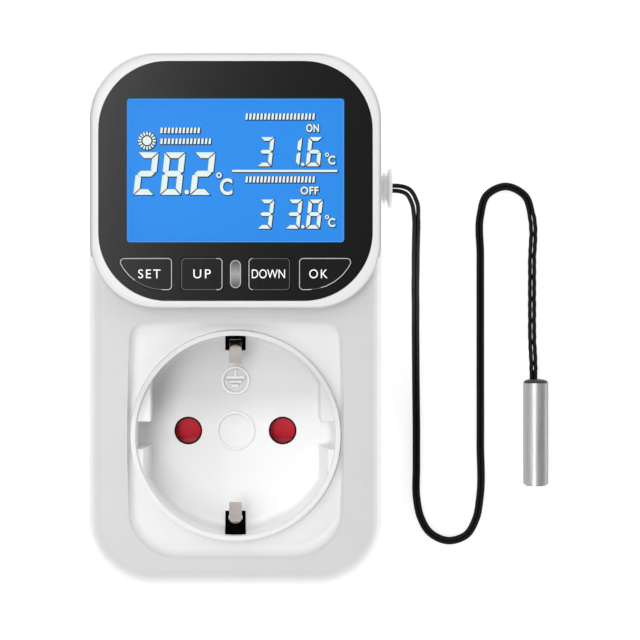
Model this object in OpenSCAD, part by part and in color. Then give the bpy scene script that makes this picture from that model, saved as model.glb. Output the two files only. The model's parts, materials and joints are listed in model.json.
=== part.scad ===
// A plug-in temperature controller with a probe, lying face up on its plug.
// X points right, Y towards the display and Z out of the front face.
// The origin is the middle of the plug, in the plane of the case's back face.

/* [Case] */
// Width of the case beside the socket cup
case_side = 8; // [7.8:0.1:11.5]
// Height of the case below the socket cup
case_foot = 8.7; // [8.5:0.1:15.5]
// Depth of the rear shell
rear_d = 14; // [13:0.5:15]
// Thickness of the case walls
wall = 2; // [1.6:0.1:2.2]
// Radius of the case corners seen from the front
corner_r = 12.8; // [12:0.1:13.2]
// Rounding of the front and back edges
edge_r = 3; // [2:0.25:3.5]

/* [Head] */
// Step from the sides of the case to the head
head_inset = 0.5; // [0.4:0.1:1]
// Step from the top of the case to the head
head_top_inset = 0.7; // [0.6:0.1:1.7]
// Height of the head
head_h = 49.35; // [48:0.05:60]
// Gap from the socket's flange to the head
head_gap = 2.55; // [2.1:0.05:4.2]
// Rise of the head above the lower front
head_rise = 4; // [3:0.5:5]
// Rounding of the head's front edge
head_edge_r = 1.4; // [1:0.1:1.5]
// Width of the white border round the panel
panel_margin = 1.6; // [1.5:0.1:2]
// Radius of the panel's corners
panel_r = 13.2; // [12:0.2:13.4]
// Thickness of the black panel
panel_t = 2; // [1.6:0.1:2.4]
// Thickness of the ledge under the panel
ledge_t = 1.6; // [1.2:0.1:2]

/* [Display] */
// Border from the panel's sides to the window
window_side = 5.4; // [5:0.1:6]
// Shift of the window to the right
window_x = 0; // [0:0.05:0.4]
// Border from the panel's top to the window
window_top_gap = 7.1; // [6.8:0.1:9]
// Border from the keys to the window
window_low_gap = 3.05; // [2.85:0.05:4]
// Thickness of the display glass
glass_t = 2; // [1.6:0.1:2.2]
// Thickness of the backlight
backlight_t = 3.4; // [2.8:0.1:3.6]
// How far the glass reaches past the window
glass_border = 1.5; // [1.2:0.1:1.6]
// Wall of the display's carrying frame
frame_wall = 0.8; // [0.6:0.05:0.9]

/* [Keys] */
// Height of the key caps
button_h = 6.2; // [6:0.1:7]
// Width of the two inner keys
inner_button_w = 8; // [7:0.1:8.4]
// Width of the two outer keys
outer_button_w = 10.05; // [9:0.05:10.3]
// Gap between an inner and an outer key
button_gap = 1.75; // [1.6:0.05:2]
// Middle of the key row above the panel's lower edge
button_row = 5.1; // [4.8:0.1:6]
// How far a key stands out of the panel
button_proud = 0.3; // [0.2:0.1:0.8]
// Travel of a key
button_travel = 0.5; // [0.3:0.05:0.6]
// Rounding of the key corners
button_r = 0.8; // [0.5:0.1:1.2]
// Width of the status lamp
led_w = 2.1; // [1.6:0.1:2.4]
// Length of the status lamp
led_l = 5.4; // [4.5:0.1:6]
// Gap between the lamp and a key
led_gap = 1.45; // [1.35:0.05:1.8]

/* [Socket] */
// Diameter of the socket recess
recess_d = 39; // [38.6:0.1:39.8]
// Depth of the socket recess
recess_depth = 17.5; // [17:0.1:18.5]
// Thickness of the cup's wall
cup_wall = 1; // [0.9:0.1:1.3]
// Thickness of the cup's floor
floor_t = 2; // [1.6:0.1:2.2]
// How far the guide flats stand into the recess
flat_in = 2.9; // [2.5:0.1:3.3]
// How far the lower guide flats lean out towards the rim
flat_lean = 1.4; // [0:0.1:1.8]
// Width of the keyway between the guide flats
keyway_w = 5.4; // [5:0.1:6]
// Depth of the guide flats below the rim
flat_drop = 1.2; // [0.6:0.1:3]
// Diameter of the pin holes
pin_hole_d = 5.6; // [5.2:0.1:5.8]
// Width of the earth slots
slot_w = 4.1; // [3.6:0.1:4.6]
// Width of the earth clips
clip_w = 2.5; // [2:0.1:3]
// How far the earth clips bend in
clip_bend = 3.7; // [2.5:0.1:4]
// Depth of the dish round the socket
dish_depth = 1.5; // [1:0.1:1.8]
// Width of the dish beside the socket cup
dish_side = 0.6; // [0.5:0.1:1.5]
// Height of the contact block behind the shutter
block_h = 9.5; // [9:0.5:15]
// Travel of the safety shutter
shutter_travel = 6.4; // [6.2:0.1:6.6]

/* [Plug] */
// Room round the plug body in a recess like this one
plug_room = 1; // [0.8:0.1:1.3]
// Length of the plug body
plug_len = 17; // [16.5:0.5:18]
// Distance between the pins
pin_pitch = 19; // [18.8:0.1:19.2]
// Diameter of the pins
pin_d = 4.8; // [4.6:0.1:4.9]
// Length of the pins
pin_len = 19; // [18:0.5:19.5]

/* [Boards] */
// Thickness of the circuit boards
board_t = 1.6; // [1:0.1:1.6]
// Height of the main board above the back face
main_board_z = 7; // [6.5:0.5:8]
// Gap between the boards' edges and the case walls
board_gap = 2; // [1.5:0.1:2.5]

/* [Probe lead] */
// Width of the probe lead
lead_d = 1.7; // [1.4:0.1:1.8]
// Height of the gland above the plug axis
gland_y = 48.8; // [46:0.1:51]
// Height of the gland above the back face
gland_z = 18; // [17.5:0.1:20]
// Diameter of the steel probe capsule
capsule_d = 5.5; // [5:0.1:6]
// Length of the steel probe capsule
capsule_l = 22.7; // [18:0.1:30]
// Wall of the steel probe capsule
capsule_wall = 0.4; // [0.3:0.05:0.6]

/* [Hidden] */
$fn = 64;

over = 0.5;             // overrun of cuts
snug = 0.05;            // clearance of pieces that are pushed together
free = 0.2;             // clearance of pieces that move

// The socket cup and the shell round it
recess_r = recess_d / 2;
cup_r = recess_r + cup_wall;
flange_lip = 1.7;
flange_r = cup_r + flange_lip;
case_w = 2 * (cup_r + case_side);
case_low = cup_r + case_foot;
head_w = case_w - 2 * head_inset;
head_low = flange_r + head_gap;
head_top = head_low + head_h;
case_top = head_top + head_top_inset;

// Heights from the back face to the lower front
block_z = 3.6;
block_top_z = block_z + block_h;
shutter_t = 2.8;
shutter_room = 0.6;
cup_low_z = block_top_z + shutter_t + shutter_room;
recess_z = cup_low_z + floor_t;
case_d = recess_z + recess_depth;

// Heights of the head's layers
head_z = case_d + head_rise;
panel_z = head_z - panel_t;
ledge_z = panel_z - ledge_t;
glass_z = panel_z - free / 2 - glass_t;
backlight_z = glass_z - backlight_t;
frame_foot = 0.9;
display_board_z = backlight_z - frame_foot - board_t;
display_top_z = display_board_z + board_t;

// The panel and the window in it
panel_w = head_w - 2 * panel_margin;
panel_top = head_top - panel_margin;
panel_low = head_low + panel_margin;
pocket_gap = 0.1;
button_y = panel_low + button_row;
window_w = panel_w - 2 * window_side;
window_top = panel_top - window_top_gap;
window_low = button_y + button_h / 2 + window_low_gap;
window_r = 0.6;

// The key caps
cap_gap = 0.15;
cap_skirt = 0.6;
cap_foot_t = 0.9;
cap_top_z = head_z + button_proud;
cap_foot_z = ledge_z - free - cap_foot_t;
inner_button_x = led_w / 2 + led_gap + inner_button_w / 2;
outer_button_x = inner_button_x + inner_button_w / 2 + button_gap + outer_button_w / 2;
outer_sweep_r = 9.4;
outer_sweep_in = 1.7;
switch_w = 6;
switch_h = 2.8;
plunger_r = 1.7;
plunger_sink = 0.4;
plunger_well = plunger_sink + button_travel + 2 * snug;
lens_skirt = 0.55;
lens_skirt_t = 1;
led_h = 1;
led_body_w = 1.2;
led_body_l = 2;

// The dish round the socket
dish_z = case_d - dish_depth;
dish_w = 2 * (cup_r + dish_side);
dish_above = 2.26;
dish_below = 3.4;
dish_top = cup_r + dish_above;
dish_low = cup_r + dish_below;
dish_low_r = 10;
dish_top_r = 3;
dish_top_bow_r = 260;
dish_side_bow_r = 400;
plate_z = dish_z - wall;

// The flange that holds the cup to the front shell
flange_t = 1.6;
flange_gap = 1.3;
flange_w = case_w - 2 * (wall + flange_gap);
flange_h = 28;
flange_corner_r = 3;
ear_in = 2.1;
ear_x = flange_w / 2 - ear_in;
ear_y = flange_h / 2 - ear_in;

// The floor of the recess
flat_x = recess_r - flat_in;
pin_x = pin_pitch / 2;
floor_fillet = 1.6;
relief_t = 0.3;
relief_line = 0.5;
earth_ring_y = 10.1;
earth_ring_r = 2.85;
centre_ring_r = 3.85;

// What lies behind the floor
block_in = 2.3;
block_r = recess_r - block_in;
block_post_r = 1.3;
block_post_shares = [[0.593, 0.698], [0.698, -0.552]];
pocket_w = 7.2;
pocket_roof = 1.7;
pocket_top_z = block_top_z - pocket_roof;
pin_pass_r = pin_hole_d / 2 + free / 2;
blade_border = 0.6;
blade_w = pin_hole_d + 2 * blade_border;
shutter_bar_low = 2;
shutter_bar_high = 3.1;
ramp_low_y = 1.65;
ramp_high_y = 2.6;
ramp_drop = 1.4;
ledge_drop = 2;
spring_wire = 0.35;
spring_r = 1.1;
spring_turns = 6;
spring_packed = 3.3;
spring_stop_y = shutter_bar_high + shutter_travel + spring_packed;
spring_stop_t = 1;
spring_stop_w = 3.2;

// The earth strip of the socket and its slots
strip_t = 0.6;
strip_gap = 0.4;
clip_root = block_r + strip_gap + strip_t / 2;
clip_foot_h = 0.6;
clip_bend_h = 6.5;
clip_tip_h = 12.5;
clip_tip_in = 0.6;
slot_room = 1.75;
slot_in = clip_root - slot_room;
slot_out_gap = 1;
slot_out = cup_r + slot_out_gap;
slot_roof = 2.4;
slot_top_z = case_d - slot_roof;

// The pin contacts
leaf_t = 0.5;
leaf_gap = 0.12;
leaf_bow = 0.5;
contact_base_t = 0.6;
contact_z = block_z + free;
contact_w = 6.6;
tab_w = 3;
tab_reach = 1.9;
tab_end = block_r + tab_reach;

// The plug body and its pins
plug_r = recess_r - plug_room;
plug_wall = 2;
plug_end_t = 2.5;
plug_flat_room = 0.3;
plug_flat_x = flat_x - plug_flat_room;
plug_rib_room = 0.5;
plug_rib_w = keyway_w - plug_rib_room;
strip_w = 4;
plug_strip_t = 0.9;
plug_strip_sink = 0.25;
plug_strip_out = plug_r - plug_strip_sink;
strip_bar_t = 0.8;
pin_r = pin_d / 2;
pin_tip = 1.2;
pin_tip_z = -plug_len - pin_len;
pin_neck_in = 0.2;
pin_neck_r = pin_r - pin_neck_in;
collar_r = 3.2;
collar_t = 2;
collar_z = -plug_len + plug_end_t;
retainer_z = collar_z + collar_t;
retainer_t = 1.6;
retainer_gap = 2.2;
retainer_r = plug_r - plug_wall - retainer_gap;
lug_r = 1.6;
lug_h = 3.6;
lug_top_z = retainer_z + retainer_t + lug_h;
retainer_post_r = 2;
retainer_post_y = 8;

// The boards
board_w = case_w - 2 * wall - 2 * board_gap;
board_low_gap = 2;
board_low = flange_r + board_low_gap;
board_top = case_top - wall - board_gap;
board_h = board_top - board_low;
main_corner_r = 13.3;
display_corner_r = 8;
main_top_z = main_board_z + board_t;
standoff_r = 2;
post_shares = [[0.14, 0.07], [0.86, 0.07], [0.14, 0.8], [0.86, 0.8]];
relay_share = [0.24, 0.367];
relay_size = [15.6, 19.2, 15.4];
transformer_share = [0.64, 0.76];
transformer_size = [16, 14, 14];
filter_share = [0.9, 0.304];
filter_r = 4;
filter_h = 12;
film_share = [0.61, 0.187];
film_size = [13, 6, 11];
varistor_share = [0.61, 0.346];
varistor_r = 4.5;
varistor_t = 4;
varistor_leg = 1;
leg_r = 0.4;
fuse_share = [0.26, 0.696];
fuse_r = 2.2;
fuse_l = 10;
fuse_cap_l = 2.2;
header_share = [0.32, 0.919];
header_l = 15.24;
header_pins = 6;
header_w = header_l / header_pins;
header_pin_r = 0.32;
header_base_t = 2.5;
connector_size = [5, 7.4, 6];
connector_edge = 2;
controller_share = [0.3, 0.59];
controller_size = [10, 10, 1.4];
controller_leg = 0.9;
buzzer_share = [0.74, 0.55];
buzzer_r = 4.5;
buzzer_h = 5;
buzzer_hole_r = 1;

// Screws, each with its hole a little wider than its shank
case_screw = [1.4, 2.4, 2, 21];
case_screw_head_z = 1;
case_boss_r = 2.3;
case_boss_h = 13;
case_boss_top_z = rear_d + case_boss_h;
case_boss_in = 1.2;
case_boss_out = corner_r - wall - case_boss_in;
small_screw = [0.9, 1.8, 1.2, 5.5];
board_screw = [0.9, 1.8, 1.2, 5.5];
display_screw = [0.6, 1.3, 1.1, 4.6];
display_boss_r = 1.4;
display_boss_x = 18;
display_boss_in = 2;
display_low_out = 11.3;
head_corner_fill = 1.8;
head_cavity_r = corner_r - wall - head_corner_fill;

// The gland and the lead inside the case
gland_neck_r = 2.5;
gland_inner_r = 3.5;
gland_inner_t = 0.6;
gland_body_r = 3.1;
gland_outer_r = 3.95;
gland_outer_t = 0.55;
gland_len = 2.9;
gland_rib_t = 0.25;
gland_bore_r = lead_d / 2 + snug;
gland_x = case_w / 2;
gland_end_x = gland_x + gland_len;
wire_r = 0.8;

// The probe lies on the surface that the pins reach down to
floor_z = pin_tip_z;
capsule_x = 66.5;
capsule_y = 7.5;
capsule_z = floor_z + capsule_d / 2;
seal_sink = 0.3;
seal_l = 15.5;
bead_r = 1.2;
bead_neck_r = 0.6;
bead_neck_l = 1;

// Route of the probe lead from the gland's mouth to the capsule
lead_route = [
    [31.4, 48.8, 18], [32.4, 48.8, 18], [34.6, 48.3, 17], [36.2, 46.2, 14.8],
    [36.9, 42.8, 11.2], [37.2, 39.2, 6.6], [37.5, 35.6, 1.2], [37.9, 32, -4.8],
    [38.3, 28.4, -11.2], [38.8, 24.4, -17.6], [39.2, 20, -23.6], [39.6, 15, -28.8],
    [39.9, 9.4, -32.6], [40.1, 3.4, -34.6], [40.2, -3, -35.1], [40.2, -11, -35.1],
    [40.3, -18.6, -35.1], [41.1, -22.3, -35.1], [43.1, -25.7, -35.1], [47.3, -27.6, -35.1],
    [51.3, -26.3, -35.1], [53.4, -22.8, -35.1], [54.3, -18, -35.1], [54.4, -6, -35.1],
    [54.4, 8, -35.1], [54.4, 22, -35.1], [54.4, 36, -35.1], [54.4, 44.6, -35.1],
    [55.8, 49.1, -35.1], [60, 51.1, -35.1], [64.4, 48.9, -35.1], [65.8, 44.6, -35.1],
    [65.9, 34, -35.1], [65.9, 24, -35.1], [65.9, 16.6, -34.7], [66, 12, -33.6],
    [66, 8.4, -33.25], [66, 7.2, -33.25]
];
lead_ring_step = 4.2;
lead_sides = 8;
wire_sides = 8;

// A point on the main board or the display board, from its shares of the board
function on_board(share) = [(share[0] - 0.5) * board_w, board_low + share[1] * board_h];

function unit(v) = v / norm(v);

// Slope of a smooth curve at point i of a list
function slope(p, i) =
    i == 0 ? unit(p[1] - p[0]) :
    i == len(p) - 1 ? unit(p[i] - p[i - 1]) :
    let (a = norm(p[i] - p[i - 1]), b = norm(p[i + 1] - p[i]))
    ((p[i] - p[i - 1]) / a * b + (p[i + 1] - p[i]) / b * a) / (a + b);

// Points on the smooth curve through p, about step apart
function smooth(p, step) = concat(
    [for (i = [0 : len(p) - 2])
        let (d = norm(p[i + 1] - p[i]), n = max(1, ceil(d / step)),
             m0 = slope(p, i) * d, m1 = slope(p, i + 1) * d)
        for (k = [0 : n - 1])
            let (t = k / n)
            (2 * t * t * t - 3 * t * t + 1) * p[i] + (t * t * t - 2 * t * t + t) * m0
            + (3 * t * t - 2 * t * t * t) * p[i + 1] + (t * t * t - t * t) * m1],
    [p[len(p) - 1]]);

// A tube of one radius along points; up is a direction that the tube never follows
module tube(p, r, sides, up) {
    n = len(p);
    points = [for (i = [0 : n - 1])
        let (t = i == 0 ? unit(p[1] - p[0]) : i == n - 1 ? unit(p[i] - p[i - 1])
                 : unit(unit(p[i + 1] - p[i]) + unit(p[i] - p[i - 1])),
             s = unit(cross(t, up)), v = cross(s, t))
        for (k = [0 : sides - 1])
            p[i] + r * (cos(360 * k / sides) * s + sin(360 * k / sides) * v)];
    walls = [for (i = [0 : n - 2], k = [0 : sides - 1])
        let (a = i * sides + k, b = i * sides + (k + 1) % sides)
        for (f = [[a, b, a + sides], [b, b + sides, a + sides]]) f];
    start = [for (k = [1 : sides - 2]) [0, k + 1, k]];
    last = (n - 1) * sides;
    end = [for (k = [1 : sides - 2]) [last, last + k, last + k + 1]];
    polyhedron(points, concat(walls, start, end));
}

// A strip of sheet metal in the Y-Z plane, folded along points and centred on X
module strip(path, t, w) {
    n = len(path);
    function side(i) =
        let (a = i == 0 ? unit(path[1] - path[0]) : unit(path[i] - path[i - 1]),
             b = i == n - 1 ? a : unit(path[i + 1] - path[i]),
             m = unit([-a[1] - b[1], a[0] + b[0]]))
        m / (m * [-a[1], a[0]]);
    left = [for (i = [0 : n - 1]) path[i] + side(i) * t / 2];
    right = [for (i = [n - 1 : -1 : 0]) path[i] - side(i) * t / 2];
    translate([-w / 2, 0, 0])
        rotate([90, 0, 90])
            linear_extrude(w) polygon(concat(left, right));
}

// Rounded rectangle about X = 0, from -low to top along Y
module outline(w, low, top, r) {
    translate([r - w / 2, -low]) square([w - 2 * r, top + low]);
    translate([-w / 2, r - low]) square([w, top + low - 2 * r]);
    for (x = [-1, 1], y = [r - low, top - r])
        translate([x * (w / 2 - r), y]) circle(r);
}

module slab(w, low, top, r, z, h) {
    translate([0, 0, z]) linear_extrude(h) outline(w, low, top, r);
}

// Section of a block from a to b and h high, with its two upper corners rounded
module soft_section(a, b, h, e) {
    translate([a, 0]) square([b - a, h - e]);
    translate([a + e, 0]) square([b - a - 2 * e, h]);
    for (x = [a + e, b - e]) translate([x, h - e]) circle(e);
}

// Rounded rectangular block from z = 0 to h, with its upper edge rounded
module soft_block(w, low, top, r, h, e) {
    translate([r - w / 2, 0, 0])
        rotate([90, 0, 90]) linear_extrude(w - 2 * r) soft_section(-low, top, h, e);
    translate([0, top - r, 0])
        rotate([90, 0, 0]) linear_extrude(top + low - 2 * r) soft_section(-w / 2, w / 2, h, e);
    for (k = [0 : 3])
        translate([(k == 0 || k == 3 ? 1 : -1) * (w / 2 - r), k < 2 ? top - r : r - low, 0])
            rotate([0, 0, 90 * k]) rotate_extrude(angle = 90) {
                square([r, h - e]);
                square([r - e, h]);
                intersection() {
                    translate([r - e, h - e]) circle(e);
                    square([r, h]);
                }
            }
}

// A screw with its head towards -Z or +Z; size is shank radius, head radius, head height, length
module screw(size, up) {
    mirror([0, 0, up ? 1 : 0]) {
        translate([0, 0, -size[2]]) difference() {
            cylinder(h = size[2], r = size[1]);
            for (a = [0, 90])
                rotate([0, 0, a])
                    translate([-size[1] / 2, -size[0] / 6, -over])
                        cube([size[1], size[0] / 3, over + size[2] / 3]);
        }
        cylinder(h = size[3], r = size[0]);
    }
}

// The corners of the case where its screws stand
module case_corners() {
    c = case_boss_out * cos(45);
    for (x = [-1, 1], y = [corner_r - case_low - c, case_top - corner_r + c])
        translate([x * (case_w / 2 - corner_r + c), y, 0]) children();
}

module main_posts() {
    for (s = post_shares) translate(on_board(s)) children();
}

module ears() {
    for (x = [-1, 1], y = [-1, 1]) translate([x * ear_x, y * ear_y, 0]) children();
}

module block_corners() {
    for (p = block_post_shares, x = [-1, 1])
        translate([x * p[0] * block_r, p[1] * block_r, 0]) children();
}

module display_corners() {
    c = display_low_out * cos(45);
    for (x = [-1, 1]) {
        translate([x * display_boss_x, head_top - wall - display_boss_in, 0]) children();
        translate([x * (head_w / 2 - corner_r + c), head_low + corner_r - c, 0]) children();
    }
}

module retainer_posts() {
    for (y = [-1, 1]) translate([0, y * retainer_post_y, 0]) children();
}

// The plug body's outline: round, with two flats and a rib in the middle of each
module plug_outline(r, flat, rib) {
    difference() {
        circle(r);
        for (x = [-1, 1], y = [-1, 1])
            translate([x * (flat + plug_r / 2), y * (rib / 2 + plug_r / 2)])
                square(plug_r, center = true);
    }
}

module plug_strip_slot() {
    for (y = [-1, 1])
        translate([0, y * (plug_strip_out + over - plug_strip_t / 2), wall / 2 - plug_len / 2])
            cube([strip_w + free, plug_strip_t + 2 * over + free, plug_len + wall + 2 * over],
                 center = true);
}

module rear_housing() color("white") {
    difference() {
        union() {
            difference() {
                translate([0, 0, rear_d]) mirror([0, 0, 1])
                    soft_block(case_w, case_low, case_top, corner_r, rear_d, edge_r);
                slab(case_w - 2 * wall, case_low - wall, case_top - wall, corner_r - wall,
                     wall, rear_d);
            }
            translate([0, 0, -plug_len])
                linear_extrude(plug_len + wall) plug_outline(plug_r, plug_flat_x, plug_rib_w);
            case_corners() translate([0, 0, wall / 2]) cylinder(h = rear_d - wall / 2, r = case_boss_r);
            main_posts() translate([0, 0, wall / 2]) cylinder(h = main_board_z - wall / 2, r = standoff_r);
        }
        translate([0, 0, collar_z])
            linear_extrude(plug_len + wall + over)
                plug_outline(plug_r - plug_wall, plug_flat_x - plug_wall, 2 * plug_r);
        plug_strip_slot();
        for (x = [-1, 1])
            translate([x * pin_x, 0, -plug_len - over])
                cylinder(h = plug_end_t + 2 * over, r = pin_neck_r + snug);
        case_corners() {
            translate([0, 0, -over])
                cylinder(h = over + case_screw_head_z + case_screw[2], r = case_screw[1] + free);
            cylinder(h = rear_d + over, r = case_screw[0] + free);
        }
        main_posts() translate([0, 0, wall])
            cylinder(h = main_board_z, r = board_screw[0] + snug);
    }
    retainer_posts() translate([0, 0, collar_z - plug_end_t / 2]) difference() {
        cylinder(h = collar_t + plug_end_t / 2, r = retainer_post_r);
        translate([0, 0, plug_end_t / 4])
            cylinder(h = collar_t + plug_end_t, r = small_screw[0] + snug);
    }
}

// The outline of an outer key, drawn on the left; its outer side sweeps in to the bottom
module outer_key(grow) {
    right = outer_button_w / 2 - outer_button_x;
    low = button_y - button_h / 2;
    offset(r = button_r + grow, $fn = 32) offset(delta = -button_r) intersection() {
        translate([right - outer_button_w, low]) square([outer_button_w, button_h]);
        translate([right - outer_sweep_in, low]) {
            square([outer_sweep_in, button_h]);
            translate([0, outer_sweep_r]) circle(outer_sweep_r);
        }
    }
}

// The outline of an inner key, drawn on the left
module inner_key(grow) {
    translate([-inner_button_x, button_y])
        outline(inner_button_w + 2 * grow, button_h / 2 + grow, button_h / 2 + grow, button_r);
}

module keys(grow) {
    for (side = [0, 1]) mirror([side, 0]) {
        outer_key(grow);
        inner_key(grow);
    }
    lamp(grow);
}

module lamp(grow) {
    translate([0, button_y]) {
        square([led_w + 2 * grow, led_l - led_w], center = true);
        for (y = [-1, 1]) translate([0, y * (led_l - led_w) / 2]) circle(led_w / 2 + grow);
    }
}

module window(grow, r) {
    translate([window_x, 0])
        outline(window_w + 2 * grow, grow - window_low, window_top + grow, r);
}

module front_shell() {
    difference() {
        translate([0, 0, rear_d]) union() {
            soft_block(case_w, case_low, case_top, corner_r, case_d - rear_d, edge_r);
            soft_block(head_w, -head_low, head_top, corner_r, head_z - rear_d, head_edge_r);
        }
        slab(case_w - 2 * wall, case_low - wall, case_top - wall, corner_r - wall,
             rear_d - over, case_d - wall - rear_d + over);
        slab(head_w - 2 * wall, -head_low - wall, head_top - wall, head_cavity_r,
             case_d - wall - over, ledge_z - case_d + wall + over);
    }
}

// Where the dish's upper corner circle lies, so that it meets both bowed edges smoothly
function dish_corner(x, steps) =
    let (y = dish_top - dish_top_bow_r + sqrt(pow(dish_top_bow_r - dish_top_r, 2) - x * x))
    steps == 0 ? [x, y] :
    dish_corner(dish_w / 2 - dish_side_bow_r + sqrt(pow(dish_side_bow_r - dish_top_r, 2) - y * y),
                steps - 1);

// The dish: bowed sides and top, with small corners above and large ones below
module dish_outline() {
    c = dish_corner(dish_w / 2 - dish_top_r, 4);
    top_c = [0, dish_top - dish_top_bow_r];
    side_c = [dish_w / 2 - dish_side_bow_r, 0];
    top_x = c[0] + dish_top_r * unit(c - top_c)[0];
    side_y = c[1] + dish_top_r * unit(c - side_c)[1];
    for (x = [-1, 1]) translate([x * c[0], c[1]]) circle(dish_top_r);
    intersection() {
        union() {
            outline(dish_w, dish_low, dish_top / 2, dish_low_r);
            translate([-dish_w / 2, 0]) square([dish_w, side_y]);
            translate([-top_x, 0]) square([2 * top_x, dish_top]);
        }
        translate(top_c) circle(dish_top_bow_r, $fn = 256);
        translate(side_c) circle(dish_side_bow_r, $fn = 256);
        translate(-side_c) circle(dish_side_bow_r, $fn = 256);
    }
}

module front_housing() color("white") {
    difference() {
        union() {
            front_shell();
            slab(dish_w + 2 * wall, dish_low + wall, dish_top + wall, dish_low_r,
                 plate_z, dish_depth + wall / 2);
            ears() translate([0, 0, plate_z]) cylinder(h = dish_depth + wall / 2, r = case_boss_r);
            case_corners() translate([0, 0, rear_d])
                cylinder(h = case_boss_top_z - rear_d, r = case_boss_r);
            display_corners() translate([0, 0, display_top_z])
                cylinder(h = ledge_z - display_top_z + ledge_t / 2, r = display_boss_r);
        }
        translate([0, 0, dish_z]) linear_extrude(dish_depth + over) dish_outline();
        translate([0, 0, plate_z - over]) cylinder(h = wall + 2 * over, r = cup_r + snug);
        slab(panel_w + 2 * pocket_gap, pocket_gap - panel_low, panel_top + pocket_gap,
             panel_r + pocket_gap, panel_z, panel_t + over);
        translate([0, 0, ledge_z - over]) linear_extrude(ledge_t + 2 * over) {
            window(glass_border + free, window_r);
            keys(free);
        }
        ears() translate([0, 0, plate_z - over])
            cylinder(h = over + wall + dish_depth / 3, r = small_screw[0] + snug);
        case_corners() translate([0, 0, rear_d - over])
            cylinder(h = case_screw[3] + case_screw_head_z + case_screw[2] + 2 * over - rear_d + over,
                     r = case_screw[0] + snug);
        display_corners() translate([0, 0, display_top_z - over])
            cylinder(h = display_screw[3] - board_t + 2 * over, r = display_screw[0] + snug);
        translate([case_w / 2 - wall - over, gland_y, gland_z])
            rotate([0, 90, 0]) cylinder(h = wall + 2 * over, r = gland_neck_r + snug);
    }
}

// The guide flats: segments of the recess above and below the keyways; the lower ones lean
module guide_flats() {
    difference() {
        translate([0, 0, recess_z - floor_t / 2])
            cylinder(h = recess_depth + floor_t / 2 - flat_drop, r = recess_r + cup_wall / 2);
        translate([-flat_x, 0, 0]) cube([2 * flat_x, recess_d, case_d]);
        rotate([90, 0, 0]) linear_extrude(recess_d)
            polygon([[-flat_x, recess_z - floor_t], [flat_x, recess_z - floor_t],
                     [flat_x + flat_lean, case_d], [-flat_x - flat_lean, case_d]]);
        translate([-recess_d, -keyway_w / 2, 0]) cube([2 * recess_d, keyway_w, case_d]);
    }
}

module socket_insert() color("white") {
    difference() {
        union() {
            difference() {
                union() {
                    translate([0, 0, cup_low_z]) cylinder(h = case_d - cup_low_z, r = cup_r);
                    translate([0, 0, plate_z - flange_t]) cylinder(h = flange_t, r = flange_r);
                    slab(flange_w, flange_h / 2, flange_h / 2, flange_corner_r,
                         plate_z - flange_t, flange_t);
                }
                translate([0, 0, recess_z]) rotate_extrude() difference() {
                    square([recess_r, recess_depth + over]);
                    difference() {
                        translate([recess_r - floor_fillet, 0]) square(floor_fillet);
                        translate([recess_r - floor_fillet, floor_fillet]) circle(floor_fillet);
                    }
                }
            }
            guide_flats();
            block_corners() translate([0, 0, block_top_z])
                cylinder(h = cup_low_z - block_top_z + floor_t / 2, r = block_post_r);
            translate([0, 0, recess_z - relief_t]) {
                translate([0, earth_ring_y, 0]) relief_ring(earth_ring_r);
                relief_ring(centre_ring_r);
                translate([0, earth_ring_y, 0]) earth_mark();
            }
        }
        for (x = [-1, 1])
            translate([x * pin_x, 0, cup_low_z - over])
                cylinder(h = floor_t + relief_t + 2 * over, r = pin_hole_d / 2);
        for (y = [-1, 1])
            translate([-slot_w / 2, y > 0 ? slot_in : -slot_out, cup_low_z - over])
                cube([slot_w, slot_out - slot_in, slot_top_z - cup_low_z + over]);
        ears() translate([0, 0, plate_z - flange_t - over])
            cylinder(h = flange_t + 2 * over, r = small_screw[0] + free);
        block_corners() translate([0, 0, block_top_z - over])
            cylinder(h = over + cup_low_z - block_top_z + floor_t / 4, r = display_screw[0] + snug);
    }
}

module relief_ring(r) {
    difference() {
        cylinder(h = 2 * relief_t, r = r);
        translate([0, 0, relief_t / 2]) cylinder(h = 2 * relief_t, r = r - relief_line);
    }
}

// The earth sign in low relief: a stem over three bars that grow shorter
module earth_mark() {
    bar = earth_ring_r - relief_line;
    translate([-relief_line / 2, bar / 6, 0]) cube([relief_line, bar * 2 / 3, 2 * relief_t]);
    for (i = [0 : 2])
        translate([-bar * (0.85 - i * 0.25), bar * (0.1 - i * 0.3), 0])
            cube([2 * bar * (0.85 - i * 0.25), relief_line, 2 * relief_t]);
}

module front_panel() color("#151517") {
    difference() {
        slab(panel_w, -panel_low, panel_top, panel_r, panel_z, panel_t);
        translate([0, 0, panel_z - over]) linear_extrude(panel_t + 2 * over) {
            window(0, window_r);
            keys(cap_gap);
        }
    }
}

module display_window() color("lightblue", 0.5) {
    translate([0, 0, panel_z]) linear_extrude(panel_t - pocket_gap) window(-snug, window_r);
}

module lcd_glass() color("#2e90ee") {
    translate([0, 0, glass_z]) linear_extrude(glass_t) window(glass_border, window_r);
}

module lcd_backlight() color("whitesmoke") {
    translate([0, 0, backlight_z]) linear_extrude(backlight_t) window(glass_border - snug, window_r);
}

module lcd_frame() color("#303234") {
    translate([0, 0, display_top_z]) difference() {
        linear_extrude(ledge_z - free - display_top_z) window(glass_border + snug + frame_wall, window_r);
        translate([0, 0, frame_foot]) linear_extrude(ledge_z) window(glass_border + snug, window_r);
        translate([0, 0, -over]) linear_extrude(ledge_z) window(glass_border - frame_wall, window_r);
    }
}

module display_board() color("darkgreen") {
    difference() {
        slab(board_w, -board_low, board_top, display_corner_r, display_board_z, board_t);
        display_corners() translate([0, 0, display_board_z - over])
            cylinder(h = board_t + 2 * over, r = display_screw[0] + free);
    }
}

module display_screws() color("silver") {
    display_corners() translate([0, 0, display_board_z]) screw(display_screw, false);
}

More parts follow.
